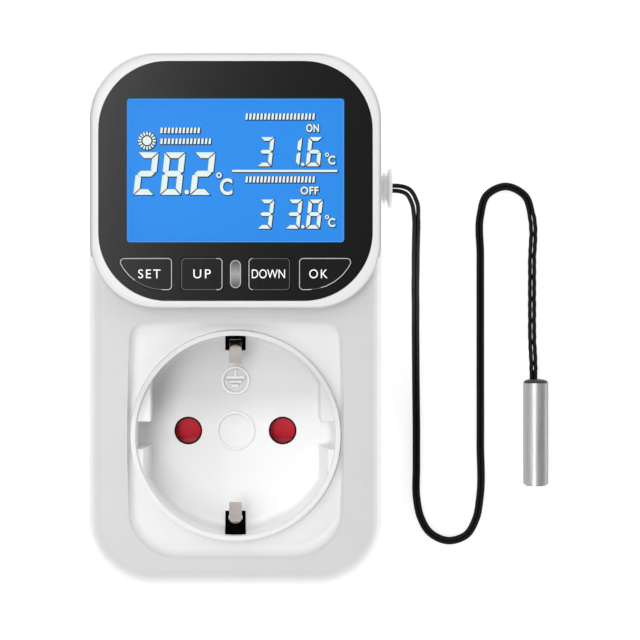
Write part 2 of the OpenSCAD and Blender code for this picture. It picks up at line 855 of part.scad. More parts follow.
// A key cap: its foot stays behind the ledge and holds it in
module key_cap(outer) {
    translate([0, 0, cap_foot_z]) {
        linear_extrude(cap_top_z - cap_foot_z) if (outer) outer_key(0); else inner_key(0);
        linear_extrude(cap_foot_t) intersection() {
            if (outer) outer_key(cap_skirt); else inner_key(cap_skirt);
            translate([-2 * outer_button_x, button_y - button_h])
                square([2 * outer_button_x, 1.5 * button_h]);
            if (outer) translate([-outer_button_x - outer_button_w / 2, 0])
                square([2 * outer_button_w, head_top]);
            else translate([-head_w, 0]) square([head_w, head_top]);
        }
    }
}

module set_button() color("#1a1a1c") key_cap(true);

module up_button() color("#1a1a1c") key_cap(false);

module down_button() color("#1a1a1c") mirror([1, 0, 0]) key_cap(false);

module ok_button() color("#1a1a1c") mirror([1, 0, 0]) key_cap(true);

module plunger(x) {
    z = display_top_z + switch_h - plunger_sink;
    translate([x, button_y, z]) cylinder(h = cap_foot_z - z, r = plunger_r);
}

module set_plunger() color("dimgray") plunger(-outer_button_x);

module up_plunger() color("dimgray") plunger(-inner_button_x);

module down_plunger() color("dimgray") plunger(inner_button_x);

module ok_plunger() color("dimgray") plunger(outer_button_x);

module tact_switches() color("silver") {
    for (x = [-outer_button_x, -inner_button_x, inner_button_x, outer_button_x])
        translate([x, button_y, display_top_z]) difference() {
            translate([-switch_w / 2, -switch_w / 2, 0]) cube([switch_w, switch_w, switch_h]);
            translate([0, 0, switch_h - plunger_well])
                cylinder(h = plunger_well + over, r = plunger_r + snug);
        }
}

module status_led() color("lemonchiffon") {
    translate([-led_body_w / 2, button_y - led_body_l / 2, display_top_z])
        cube([led_body_w, led_body_l, led_h]);
}

module led_lens() color("gray") {
    z = display_top_z + led_h + free;
    translate([0, 0, z]) linear_extrude(head_z - z) lamp(0);
    translate([0, 0, ledge_z - lens_skirt_t]) linear_extrude(lens_skirt_t) lamp(lens_skirt);
}

module microcontroller() color("#202022") {
    s = controller_size;
    translate(on_board(controller_share)) translate([0, 0, display_board_z - s[2]]) {
        translate([-s[0] / 2, -s[1] / 2, 0]) cube([s[0], s[1], s[2]]);
        for (a = [0, 90], k = [-3 : 3])
            rotate([0, 0, a])
                translate([k * s[0] / 8 - leg_r / 2, -s[1] / 2 - controller_leg, s[2] / 2])
                    cube([leg_r, s[1] + 2 * controller_leg, s[2] / 2]);
    }
}

module buzzer() color("#202022") {
    translate(on_board(buzzer_share)) translate([0, 0, display_board_z - buzzer_h]) difference() {
        cylinder(h = buzzer_h, r = buzzer_r);
        translate([0, 0, -over]) cylinder(h = buzzer_h / 2, r = buzzer_hole_r);
    }
}

module board_header() color("#202022") {
    translate(on_board(header_share)) {
        for (z = [main_top_z, display_board_z - header_base_t])
            translate([-header_l / 2, -header_w / 2, z]) cube([header_l, header_w, header_base_t]);
        for (k = [0 : header_pins - 1])
            translate([(k + 0.5) * header_w - header_l / 2, 0, main_top_z])
                cylinder(h = display_board_z - main_top_z, r = header_pin_r);
    }
}

module main_board() color("darkgreen") {
    difference() {
        slab(board_w, -board_low, board_top, main_corner_r, main_board_z, board_t);
        main_posts() translate([0, 0, main_board_z - over])
            cylinder(h = board_t + 2 * over, r = board_screw[0] + free);
    }
}

module board_screws() color("silver") {
    main_posts() translate([0, 0, main_top_z]) screw(board_screw, true);
}

// A square part that stands on the main board
module board_part(share, size) {
    translate(on_board(share))
        translate([-size[0] / 2, -size[1] / 2, main_top_z]) cube(size);
}

module relay() color("#2b5fa8") {
    board_part(relay_share, relay_size);
}

module transformer() {
    s = transformer_size;
    color("#c8a640") board_part(transformer_share, [s[0], s[1] * 2 / 3, s[2]]);
    color("#3a3a3c") translate(on_board(transformer_share)) translate([0, 0, main_top_z + s[2] / 2])
        cube([s[0] / 2, s[1], s[2] * 3 / 4], center = true);
}

module filter_capacitor() color("#28282c") {
    translate(on_board(filter_share)) translate([0, 0, main_top_z]) difference() {
        cylinder(h = filter_h, r = filter_r);
        translate([0, 0, filter_h / 10]) difference() {
            cylinder(h = filter_h / 20, r = filter_r + over);
            translate([0, 0, -over]) cylinder(h = filter_h, r = filter_r * 0.93);
        }
    }
}

module film_capacitor() color("goldenrod") {
    board_part(film_share, film_size);
}

module varistor() color("royalblue") {
    translate(on_board(varistor_share)) translate([0, 0, main_top_z]) {
        translate([0, varistor_t / 2, varistor_r + varistor_leg]) rotate([90, 0, 0])
            cylinder(h = varistor_t, r = varistor_r);
        for (x = [-1, 1])
            translate([x * varistor_r / 2, 0, 0]) cylinder(h = varistor_r, r = leg_r);
    }
}

module fuse() color("lightgray") {
    translate(on_board(fuse_share)) translate([-fuse_l / 2, 0, main_top_z + fuse_r])
        rotate([0, 90, 0]) {
            cylinder(h = fuse_cap_l, r = fuse_r);
            cylinder(h = fuse_l, r = fuse_r * 0.9);
            translate([0, 0, fuse_l - fuse_cap_l]) cylinder(h = fuse_cap_l, r = fuse_r);
        }
}

connector_x = board_w / 2 - connector_edge - connector_size[0] / 2;

module probe_connector() color("ivory") {
    translate([connector_x - connector_size[0] / 2, gland_y - connector_size[1] / 2, main_top_z])
        cube(connector_size);
}

// The block behind the socket floor, with a pocket for each pin contact
module contact_block() color("#e8e8e4") {
    notch = 2 * wire_r + 2 * leaf_bow;
    difference() {
        union() {
            translate([0, 0, block_z]) cylinder(h = block_top_z - block_z, r = block_r);
            translate([-spring_stop_w / 2, spring_stop_y, block_top_z - over])
                cube([spring_stop_w, spring_stop_t, shutter_t + over]);
        }
        for (x = [-1, 1]) translate([x * pin_x, 0, 0]) {
            translate([-pocket_w / 2, -pocket_w / 2, block_z - over])
                cube([pocket_w, pocket_w, pocket_top_z - block_z + over]);
            translate([0, 0, pocket_top_z - over])
                cylinder(h = block_top_z - pocket_top_z + 2 * over, r = pin_pass_r);
            translate([x > 0 ? 0 : -block_r, -tab_w / 2 - free, block_z - over])
                cube([block_r, tab_w + 2 * free, contact_z - block_z + contact_base_t + over + free]);
            translate([-x * (pin_x - wire_x) - notch / 2, notch_y, block_z - over])
                cube([notch, block_r, block_top_z - block_z + 2 * over]);
        }
        block_corners() {
            translate([0, 0, block_z - over])
                cylinder(h = over + display_screw[2] + free, r = display_screw[1] + free);
            translate([0, 0, block_z])
                cylinder(h = block_top_z, r = display_screw[0] + free);
        }
    }
}

// A contact: two bowed leaves on a base that the pin passes through, and a tab for its wire
module socket_contact() {
    h = pocket_top_z - free - contact_z - contact_base_t;
    y = pin_r + leaf_gap + leaf_t / 2;
    translate([pin_x, 0, contact_z]) {
        difference() {
            translate([-contact_w / 2, -contact_w / 2, 0]) cube([contact_w, contact_w, contact_base_t]);
            translate([0, 0, -over]) cylinder(h = contact_base_t + 2 * over, r = pin_r + free);
        }
        translate([contact_w / 2 - over, -tab_w / 2, 0])
            cube([tab_end - pin_x - contact_w / 2 + over, tab_w, contact_base_t]);
        for (side = [0, 1]) mirror([0, side, 0])
            translate([0, 0, contact_base_t / 2])
                strip([[y + leaf_bow, 0], [y + leaf_bow, h / 4], [y, h * 2 / 3], [y + leaf_bow, h]],
                      leaf_t, contact_w - 2 * leaf_t);
    }
}

module socket_contact_live() color("goldenrod") mirror([1, 0, 0]) socket_contact();

module socket_contact_neutral() color("goldenrod") socket_contact();

// The earth strip of the socket: a U whose ends bend into the recess
module socket_earth_spring() color("#b8a89c") {
    z = wall + strip_bar_t + strip_t / 2;
    end_y = clip_root - clip_tip_in + strip_t / 2;
    arm = [[clip_root, recess_z + clip_foot_h], [clip_root - clip_bend, recess_z + clip_bend_h],
           [clip_root - clip_tip_in, recess_z + clip_tip_h]];
    difference() {
        strip(concat(
            [for (i = [2 : -1 : 0]) [-arm[i][0], arm[i][1]]], [[-clip_root, z], [clip_root, z]], arm),
            strip_t, clip_w);
        translate([0, 0, recess_z + clip_bend_h]) linear_extrude(clip_tip_h) difference() {
            square([2 * clip_w, 3 * recess_r], center = true);
            square([clip_w, 2 * end_y - clip_w], center = true);
            for (y = [-1, 1]) translate([0, y * (end_y - clip_w / 2)]) circle(clip_w / 2);
        }
    }
}

// The shutter: two ramped blades on one bar
module shutter() color("#b2222e") {
    z = block_top_z + free;
    top = z + shutter_t;
    half = blade_w / 2;
    for (x = [-1, 1]) translate([x * pin_x - half, 0, 0])
        rotate([90, 0, 90]) linear_extrude(blade_w)
            polygon([[-half, z], [half, z], [half, top], [ramp_high_y, top],
                     [-ramp_low_y, top - ramp_drop], [-ramp_low_y, top - ledge_drop],
                     [-half, top - ledge_drop]]);
    translate([half - pin_x - over, -shutter_bar_low, z])
        cube([2 * (pin_x - half + over), shutter_bar_low + shutter_bar_high, shutter_t]);
}

module shutter_spring() color("silver") {
    a = shutter_bar_high + spring_wire / 2 + snug;
    b = spring_stop_y - spring_wire / 2 - snug;
    steps = 12 * spring_turns;
    z = block_top_z + free + shutter_t / 2;
    tube([for (i = [0 : steps])
        [spring_r * cos(i * 30), a + (b - a) * i / steps, z + spring_r * sin(i * 30)]],
        spring_wire / 2, 6, [0, 1, 0]);
}

module socket_screws() color("silver") {
    block_corners() translate([0, 0, block_z + display_screw[2]])
        screw([display_screw[0], display_screw[1], display_screw[2],
               cup_low_z - block_z - display_screw[2]], false);
}

module insert_screws() color("silver") {
    ears() translate([0, 0, plate_z - flange_t])
        screw([small_screw[0], small_screw[1], small_screw[2], flange_t + wall], false);
}

// A pin with a rounded tip, a collar behind the plug's end wall and a lug for its wire
module plug_pin() {
    translate([pin_x, 0, 0]) {
        translate([0, 0, pin_tip_z]) rotate_extrude() {
            translate([0, pin_tip]) square([pin_r, pin_len - pin_tip]);
            intersection() {
                translate([pin_r - pin_tip, pin_tip]) circle(pin_tip);
                square([pin_r, pin_tip]);
            }
            square([pin_r - pin_tip, pin_tip]);
        }
        translate([0, 0, -plug_len]) cylinder(h = plug_end_t + collar_t / 2, r = pin_neck_r);
        translate([0, 0, collar_z]) cylinder(h = collar_t, r = collar_r);
        translate([0, 0, collar_z + collar_t / 2])
            cylinder(h = lug_top_z - collar_z - collar_t / 2, r = lug_r);
    }
}

module live_pin() color("silver") mirror([1, 0, 0]) plug_pin();

module neutral_pin() color("silver") plug_pin();

module plug_earth_strip() color("silver") {
    y = plug_strip_out - plug_strip_t / 2;
    for (side = [0, 1]) mirror([0, side, 0])
        translate([-strip_w / 2, y - plug_strip_t / 2, pin_tip - plug_len])
            cube([strip_w, plug_strip_t, plug_len - pin_tip + wall + strip_bar_t]);
    translate([-strip_w / 2, -y, wall]) cube([strip_w, 2 * y, strip_bar_t]);
}

module pin_retainer() color("#404246") {
    translate([0, 0, retainer_z]) linear_extrude(retainer_t) difference() {
        intersection() {
            circle(retainer_r);
            square([2 * (plug_flat_x - plug_wall) - 2 * free, 2 * plug_r], center = true);
        }
        for (x = [-1, 1]) translate([x * pin_x, 0]) circle(lug_r + snug);
        retainer_posts() circle(small_screw[0] + free);
    }
}

module retainer_screws() color("silver") {
    retainer_posts() translate([0, 0, retainer_z + retainer_t])
        screw([small_screw[0], small_screw[1], small_screw[2], retainer_t + collar_t], true);
}

// Wires from the plug's pins pass a notch in the contact block to the main board
wire_x = 4.5;
wire_rim_gap = 0.9;
wire_rim = plug_r - plug_wall - wire_rim_gap;
notch_y = wire_rim - 1.5 * wire_r - wire_rim_gap;
pad_in = 2.4;
pad_y = board_low + pad_in;
wire_step = 2.6;
lift_h = 2.4;
socket_lift_h = 3;

function pin_wire_route() =
    let (lift = main_top_z + lift_h, rim = wire_rim)
    [[pin_x, 0, lug_top_z], [pin_x, 0, lug_top_z + wire_r],
     [pin_x * 0.84, rim * 0.4, lug_top_z / 2], [wire_x * 1.15, rim * 0.8, lug_top_z / 4],
     [wire_x, rim - wire_r, wall / 2], [wire_x, rim, block_z + wire_r],
     [wire_x, rim + 2 * wire_r, main_top_z], [wire_x, pad_y - 2.5 * wire_r, lift],
     [wire_x, pad_y, lift - wire_r], [wire_x, pad_y, main_top_z]];

function socket_wire_route() =
    let (tab_z = contact_z + contact_base_t, lift = main_top_z + socket_lift_h, pad_x = board_w / 4)
    [[tab_end - wire_r, 0, tab_z], [tab_end - wire_r, 0, tab_z + wire_r],
     [tab_end + wire_r, pad_y * 0.2, tab_z + 3 * wire_r], [tab_end + 2 * wire_r, pad_y * 0.45, lift - wire_r],
     [tab_end, pad_y * 0.75, lift + wire_r / 2], [pad_x + 2 * wire_r, pad_y * 0.96, lift],
     [pad_x, pad_y, lift - 2 * wire_r], [pad_x, pad_y, main_top_z]];

module live_pin_wire() color("saddlebrown") mirror([1, 0, 0])
    tube(smooth(pin_wire_route(), wire_step), wire_r, wire_sides, [1, 0, 0]);

module neutral_pin_wire() color("royalblue")
    tube(smooth(pin_wire_route(), wire_step), wire_r, wire_sides, [1, 0, 0]);

module socket_live_wire() color("saddlebrown") mirror([1, 0, 0])
    tube(smooth(socket_wire_route(), wire_step), wire_r, wire_sides, [1, 0, 0]);

module socket_neutral_wire() color("royalblue")
    tube(smooth(socket_wire_route(), wire_step), wire_r, wire_sides, [1, 0, 0]);

module case_screws() color("silver") {
    case_corners() translate([0, 0, case_screw_head_z + case_screw[2]]) screw(case_screw, false);
}

// The gland: a neck through the wall, a ribbed body and a flared mouth
module cable_gland() color("lightgray") {
    body_l = gland_len - gland_inner_t - gland_outer_t;
    translate([gland_x, gland_y, gland_z]) rotate([0, 90, 0]) difference() {
        union() {
            translate([0, 0, -wall]) cylinder(h = wall + gland_len, r = gland_neck_r);
            translate([0, 0, -wall - gland_inner_t]) cylinder(h = gland_inner_t, r = gland_inner_r);
            cylinder(h = gland_inner_t, r = gland_inner_r);
            for (k = [0 : 2])
                translate([0, 0, gland_inner_t + k * (body_l - gland_rib_t) / 2])
                    cylinder(h = gland_rib_t, r = gland_body_r);
            translate([0, 0, gland_len - gland_outer_t]) cylinder(h = gland_outer_t, r = gland_outer_r);
        }
        translate([0, 0, -wall - gland_inner_t - over])
            cylinder(h = wall + gland_inner_t + gland_len + 2 * over, r = gland_bore_r);
    }
}

module probe_lead_inner() color("#1c1c1e") {
    top = main_top_z + connector_size[2];
    inside = gland_x - wall - gland_inner_t - free;
    tube(smooth([[gland_end_x, gland_y, gland_z], [inside, gland_y, gland_z],
                 [inside - lead_d / 2, gland_y, gland_z],
                 [connector_x + lead_d, gland_y, (gland_z + top) / 2 + lead_d / 2],
                 [connector_x, gland_y, top + lead_d / 2], [connector_x, gland_y, top]], wire_step),
         lead_d / 2, lead_sides, [0, 1, 0]);
}

module probe_cord() color("#1c1c1e") {
    tube(smooth(lead_route, lead_ring_step), lead_d / 2, lead_sides, [0, 0, 1]);
}

// Puts a shape that is drawn along +Z into the capsule's mouth, pointing down its bore
module in_capsule() {
    translate([capsule_x, capsule_y, capsule_z]) rotate([90, 0, 0]) children();
}

module probe_capsule() color("silver") {
    r = capsule_d / 2;
    in_capsule() difference() {
        union() {
            cylinder(h = capsule_l - capsule_wall, r = r);
            cylinder(h = capsule_l, r = r - capsule_wall);
        }
        translate([0, 0, -over])
            cylinder(h = capsule_l - capsule_wall * 2 + over, r = r - capsule_wall);
    }
}

module probe_seal() color("black") {
    in_capsule() translate([0, 0, seal_sink])
        cylinder(h = seal_l, r = capsule_d / 2 - capsule_wall);
}

module thermistor_bead() color("#402018") {
    in_capsule() translate([0, 0, seal_sink + seal_l]) {
        cylinder(h = bead_neck_l + bead_r / 2, r = bead_neck_r);
        translate([0, 0, bead_neck_l + bead_r / 2]) sphere(bead_r);
    }
}

rear_housing();
front_housing();
socket_insert();
front_panel();
display_window();
lcd_glass();
lcd_backlight();
lcd_frame();
display_board();
display_screws();
set_button();
up_button();
down_button();
ok_button();
set_plunger();
up_plunger();
down_plunger();
ok_plunger();
tact_switches();
status_led();
led_lens();
microcontroller();
buzzer();
board_header();
main_board();
board_screws();
relay();
transformer();
filter_capacitor();
film_capacitor();
varistor();
fuse();
probe_connector();
contact_block();
socket_contact_live();
socket_contact_neutral();
socket_earth_spring();
shutter();
shutter_spring();
socket_screws();
insert_screws();
live_pin();
neutral_pin();
plug_earth_strip();
pin_retainer();
retainer_screws();
live_pin_wire();
neutral_pin_wire();
socket_live_wire();
socket_neutral_wire();
case_screws();
cable_gland();
probe_lead_inner();
probe_cord();
probe_capsule();
probe_seal();
thermistor_bead();
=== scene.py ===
"""The looks of a plug-in temperature controller with a probe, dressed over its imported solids.

Lengths are in millimetres and MM turns them into metres. X points right, Y towards the
display and Z out of the front face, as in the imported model.
"""
import json
import math

import bpy
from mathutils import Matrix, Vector


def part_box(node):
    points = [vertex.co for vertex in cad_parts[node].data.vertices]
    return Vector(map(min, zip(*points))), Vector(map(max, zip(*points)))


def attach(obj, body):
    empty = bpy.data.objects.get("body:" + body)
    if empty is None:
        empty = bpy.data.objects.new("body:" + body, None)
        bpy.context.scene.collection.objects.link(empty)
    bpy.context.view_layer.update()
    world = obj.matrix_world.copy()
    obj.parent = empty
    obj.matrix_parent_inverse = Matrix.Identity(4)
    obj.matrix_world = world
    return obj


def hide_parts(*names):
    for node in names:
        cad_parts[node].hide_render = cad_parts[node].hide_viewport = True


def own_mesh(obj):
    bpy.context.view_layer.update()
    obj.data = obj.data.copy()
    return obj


MM = 0.001
UP = Vector((0, 0, 1))
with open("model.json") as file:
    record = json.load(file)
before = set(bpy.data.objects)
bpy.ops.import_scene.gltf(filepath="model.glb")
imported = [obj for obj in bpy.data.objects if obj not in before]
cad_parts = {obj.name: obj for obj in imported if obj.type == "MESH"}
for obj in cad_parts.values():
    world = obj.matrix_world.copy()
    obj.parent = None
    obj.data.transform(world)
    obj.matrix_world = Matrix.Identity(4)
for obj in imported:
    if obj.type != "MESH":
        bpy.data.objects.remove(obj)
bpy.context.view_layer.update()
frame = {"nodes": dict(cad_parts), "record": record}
NODES = frame["nodes"]


def low(node):
    """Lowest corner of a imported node, in millimetres."""
    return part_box(node)[0] / MM


def high(node):
    """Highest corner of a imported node, in millimetres."""
    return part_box(node)[1] / MM


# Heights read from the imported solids
FLOOR_Z = low("live_pin").z
PANEL_Z = high("front_panel").z
GLASS_Z = high("lcd_glass").z
KEY_Z = high("set_button").z

# Camera straight above the part
IMAGE_SIDE = 640
SENSOR = 36
FOCAL = 144.56
CAMERA_AT = (0, 30.31, 536)
AXIS_PIXEL = (235.5, 280)


def make_camera():
    data = bpy.data.cameras.new("camera")
    data.sensor_width = SENSOR
    data.lens = FOCAL
    data.shift_x = 0.5 - AXIS_PIXEL[0] / IMAGE_SIDE
    data.shift_y = AXIS_PIXEL[1] / IMAGE_SIDE - 0.5
    data.clip_end = 10
    camera = bpy.data.objects.new("camera", data)
    camera.location = Vector(CAMERA_AT) * MM
    bpy.context.scene.collection.objects.link(camera)
    bpy.context.scene.camera = camera


# Materials
def shader(material):
    return material.node_tree.nodes["Principled BSDF"]


def plain(name, colour, roughness, **sockets):
    """A Principled material; sockets are named with underscores."""
    material = bpy.data.materials.new(name)
    material.use_nodes = True
    bsdf = shader(material)
    bsdf.inputs["Base Color"].default_value = (*colour, 1)
    bsdf.inputs["Roughness"].default_value = roughness
    for key, value in sockets.items():
        bsdf.inputs[key.replace("_", " ")].default_value = value
    return material


def noise(material, size, detail=3, stretch=(1, 1, 1)):
    """Noise in the part's own space, with features about size millimetres across."""
    tree = material.node_tree
    place = tree.nodes.new("ShaderNodeTexCoord")
    scale = tree.nodes.new("ShaderNodeMapping")
    scale.inputs["Scale"].default_value = stretch
    texture = tree.nodes.new("ShaderNodeTexNoise")
    texture.inputs["Scale"].default_value = 1 / (size * MM)
    texture.inputs["Detail"].default_value = detail
    tree.links.new(place.outputs["Object"], scale.inputs["Vector"])
    tree.links.new(scale.outputs["Vector"], texture.inputs["Vector"])
    return texture.outputs["Fac"]


def grain(material, size, depth, stretch=(1, 1, 1), edge=0):
    """Fine bumps, depth millimetres deep; edges look rounded to the radius edge."""
    tree = material.node_tree
    bump = tree.nodes.new("ShaderNodeBump")
    bump.inputs["Distance"].default_value = depth * MM
    if edge:
        bevel = tree.nodes.new("ShaderNodeBevel")
        bevel.inputs["Radius"].default_value = edge * MM
        tree.links.new(bevel.outputs["Normal"], bump.inputs["Normal"])
    tree.links.new(noise(material, size, stretch=stretch), bump.inputs["Height"])
    tree.links.new(bump.outputs["Normal"], shader(material).inputs["Normal"])


def mottle(material, size, dark, light, stretch=(1, 1, 1), socket="Base Color",
           ends=(0.3, 0.7)):
    """Colour that wanders between two values."""
    tree = material.node_tree
    ramp = tree.nodes.new("ShaderNodeValToRGB")
    for element, where, colour in zip(ramp.color_ramp.elements, ends, (dark, light)):
        element.position = where
        element.color = (*colour, 1)
    tree.links.new(noise(material, size, stretch=stretch), ramp.inputs["Fac"])
    tree.links.new(ramp.outputs["Color"], shader(material).inputs[socket])


def worn(material, size, smooth, rough, stretch=(1, 1, 1)):
    """Roughness that wanders between two values."""
    tree = material.node_tree
    span = tree.nodes.new("ShaderNodeMapRange")
    span.inputs["To Min"].default_value = smooth
    span.inputs["To Max"].default_value = rough
    tree.links.new(noise(material, size, stretch=stretch), span.inputs["Value"])
    tree.links.new(span.outputs["Result"], shader(material).inputs["Roughness"])


def moulded(name, colour, roughness, depth=0.004, edge=0, **sockets):
    """Moulded plastic: a faint cloud in its colour and a fine grain."""
    material = plain(name, colour, roughness, **sockets)
    mottle(material, 9, [c * 0.985 for c in colour], [min(1, c * 1.01) for c in colour])
    grain(material, 0.16, depth, edge=edge)
    return material


def ramp_along(material, axis, start, end):
    """A colour ramp along an axis of the part, between two places in millimetres."""
    tree = material.node_tree
    place = tree.nodes.new("ShaderNodeTexCoord")
    split = tree.nodes.new("ShaderNodeSeparateXYZ")
    span = tree.nodes.new("ShaderNodeMapRange")
    ramp = tree.nodes.new("ShaderNodeValToRGB")
    span.inputs["From Min"].default_value = start * MM
    span.inputs["From Max"].default_value = end * MM
    tree.links.new(place.outputs["Object"], split.inputs["Vector"])
    tree.links.new(split.outputs[axis], span.inputs["Value"])
    tree.links.new(span.outputs["Result"], ramp.inputs["Fac"])
    return ramp


# The colour sockets of a Mix node, whose names its other sockets share
MIX_FIRST, MIX_SECOND, MIX_RESULT = 6, 7, 2


def paint_shade_along(material, axis, stops):
    """Paints light and shade on a material along an axis by darkening it: stops are
    (millimetres, share of its colour).
    """
    tree = material.node_tree
    start, end = stops[0][0], stops[-1][0]
    ramp = ramp_along(material, axis, start, end)
    elements = ramp.color_ramp.elements
    for k, (at, share) in enumerate(stops):
        where = (at - start) / (end - start)
        element = elements[0] if k == 0 else elements[-1] if where == 1 else elements.new(where)
        element.color = (share, share, share, 1)
    tint = tree.nodes.new("ShaderNodeMix")
    tint.data_type, tint.blend_type = "RGBA", "MULTIPLY"
    tint.inputs["Factor"].default_value = 1
    base = shader(material).inputs["Base Color"]
    tree.links.new(base.links[0].from_socket, tint.inputs[MIX_FIRST])
    tree.links.new(ramp.outputs["Color"], tint.inputs[MIX_SECOND])
    tree.links.new(tint.outputs[MIX_RESULT], base)
    return material


def rolled(name, colour, roughness, stretch, edge=0, **sockets):
    """Drawn or rolled metal: streaks along one direction."""
    material = plain(name, colour, roughness, Metallic=1, **sockets)
    mottle(material, 0.9, [c * 0.88 for c in colour], colour, stretch)
    worn(material, 0.5, roughness * 0.8, roughness * 1.25, stretch)
    grain(material, 0.3, 0.002, stretch, edge)
    return material


# How noise is stretched into streaks along each axis
ALONG_X = (0.05, 1, 1)
ALONG_Y = (1, 0.05, 1)
ALONG_Z = (1, 1, 0.05)


def clear_material():
    material = plain("clear_window", (0.1, 0.2, 0.4), 0.06, Alpha=0.03)
    worn(material, 12, 0.04, 0.09)
    return material


def display_material():
    """The lit display: blue, a little uneven."""
    material = plain("blue_display", (0.004, 0.02, 0.06), 0.35, Emission_Strength=1,
                     Specular_IOR_Level=0.12)
    mottle(material, 30, (0.014, 0.24, 0.79), (0.018, 0.262, 0.82), socket="Emission Color",
           ends=(0, 1))
    return material


def lens_material():
    """Grey light guide, paler in its middle."""
    material = plain("grey_lens", (0.1, 0.1, 0.105), 0.3, Coat_Weight=0.3)
    ramp = ramp_along(material, "Y", low("led_lens").y, high("led_lens").y)
    elements = ramp.color_ramp.elements
    elements[0].position, elements[0].color = 0.08, (0.02, 0.02, 0.02, 1)
    elements[1].position, elements[1].color = 0.92, (0.02, 0.02, 0.02, 1)
    elements.new(0.5).color = (0.3, 0.3, 0.3, 1)
    material.node_tree.links.new(ramp.outputs["Color"], shader(material).inputs["Base Color"])
    return material


def board_material():
    material = plain("green_board", (0.03, 0.18, 0.07), 0.35, Coat_Weight=0.3)
    mottle(material, 1.2, (0.02, 0.14, 0.05), (0.04, 0.21, 0.09), (1, 0.3, 1))
    grain(material, 0.5, 0.01)
    return material


# Painted light and shade: places along an axis and the share of the colour there
# On the case along Z: a painted highlight band on its rounded side, the body painted darker
# than the head, and painted shade on the rounded lip round the head
CASE_PAINTED_LIGHT_Z = [(33.4, 0.75), (34.4, 0.99), (34.6, 0.99), (35.8, 0.75), (36.2, 0.75),
             (38.2, 0.78), (38.7, 0.55), (39.2, 0.55), (39.65, 0.88), (40, 0.93)]
# On the socket's cup along Z: painted shade on its wall, deeper on its rim; along Y: painted
# shade towards its upper side
CUP_PAINTED_SHADE_Z = [(18.6, 1), (19.2, 0.93), (33.6, 0.93), (36, 0.78)]
CUP_PAINTED_SHADE_Y = [(1, 1), (8, 0.82), (14, 0.85), (18, 0.92)]
# On the earth clips along Y: painted shade, nearly black, where they run into the slots
CLIP_PAINTED_SHADE_Y = [(-18.0, 0.03), (-17.7, 1), (17.7, 1), (18.0, 0.03)]

SLOT_MATERIALS = {
    # The case's white carries painted light and shade along Z
    "white_case": paint_shade_along(moulded("white_case", (0.76, 0.76, 0.765), 0.4), "Z", CASE_PAINTED_LIGHT_Z),
    "black_panel": moulded("black_panel", (0.0025, 0.0025, 0.003), 0.22, 0.0005,
                           Specular_IOR_Level=0.25),
    "clear_window": clear_material(),
    "blue_display": display_material(),
    "light_guide": moulded("light_guide", (0.85, 0.88, 0.92), 0.3),
    "black_keys": moulded("black_keys", (0.005, 0.005, 0.0055), 0.2, 0.001,
                          Specular_IOR_Level=0.25),
    "dark_plastic": moulded("dark_plastic", (0.03, 0.03, 0.033), 0.5, 0.01),
    "grey_lens": lens_material(),
    "green_board": board_material(),
    "plated_steel": rolled("plated_steel", (0.62, 0.62, 0.64), 0.32, (1, 1, 1)),
    "nickel_brass": rolled("nickel_brass", (0.72, 0.7, 0.66), 0.2, ALONG_Z),
    "clip_metal": rolled("clip_metal", (0.66, 0.6, 0.56), 0.3, ALONG_Y, edge=0.3),
    "contact_brass": rolled("contact_brass", (0.72, 0.5, 0.2), 0.3, ALONG_X),
    "block_plastic": moulded("block_plastic", (0.02, 0.02, 0.021), 0.5),
    "red_shutter": moulded("red_shutter", (0.85, 0.025, 0.05), 0.35),
    "relay_blue": moulded("relay_blue", (0.04, 0.14, 0.42), 0.45),
    "yellow_parts": moulded("yellow_parts", (0.6, 0.42, 0.08), 0.45),
    "brown_wire": moulded("brown_wire", (0.16, 0.06, 0.025), 0.4),
    "blue_wire": moulded("blue_wire", (0.04, 0.1, 0.4), 0.4),
    "grey_rubber": moulded("grey_rubber", (0.93, 0.93, 0.94), 0.5, 0.01, edge=0.15),
    "black_lead": moulded("black_lead", (0.003, 0.003, 0.0035), 0.5,
                          Specular_IOR_Level=0.16),
    "probe_steel": rolled("probe_steel", (0.66, 0.66, 0.67), 0.42, ALONG_Y,
                          Specular_Tint=(0.1, 0.1, 0.1, 1)),
    "bead_epoxy": moulded("bead_epoxy", (0.12, 0.04, 0.025), 0.3),
}


def glowing(name, colour):
    """A lit mark, with a faint cloud so that it isn't one flat value."""
    material = plain(name, [c * 0.05 for c in colour], 0.5, Emission_Strength=1,
                     Specular_IOR_Level=0.1)
    mottle(material, 2, [c * 0.94 for c in colour], colour, socket="Emission Color",
           ends=(0, 1))
    return material


SOCKET_WHITE = moulded("socket_white", (0.945, 0.945, 0.945), 0.36, edge=0.25)
# Painted shade on the socket's cup, up its wall and rim and towards its upper side
paint_shade_along(SOCKET_WHITE, "Z", CUP_PAINTED_SHADE_Z)
paint_shade_along(SOCKET_WHITE, "Y", CUP_PAINTED_SHADE_Y)
# Painted shade on the earth clips where they run into the slots
paint_shade_along(SLOT_MATERIALS["clip_metal"], "Y", CLIP_PAINTED_SHADE_Y)
# The socket's white plastic made whiter than the cup round it: a painted highlight on the
# relief
RELIEF_WHITE_HIGHLIGHT = moulded("relief_white_painted_highlight", (0.99, 0.99, 0.99), 0.4, 0.001)
LIT = glowing("lit_marks", (0.82, 0.93, 0.9))
SHADE = moulded("mark_shade", (0.002, 0.012, 0.04), 0.6, 0.001, Specular_IOR_Level=0.1)
# Grey of the painted shade line round the foot of the head
HEAD_FOOT_SHADE = moulded("head_foot_painted_shade", (0.32, 0.32, 0.33), 0.6, 0.001)
# Near black for the painted shade in the pin holes and the earth slots
PAINTED_DEEP_SHADE = moulded("deep_shade", (0.003, 0.003, 0.003), 0.7, 0.001, Specular_IOR_Level=0.1)
PRINT = moulded("key_print", (0.95, 0.95, 0.94), 0.5, 0.001)
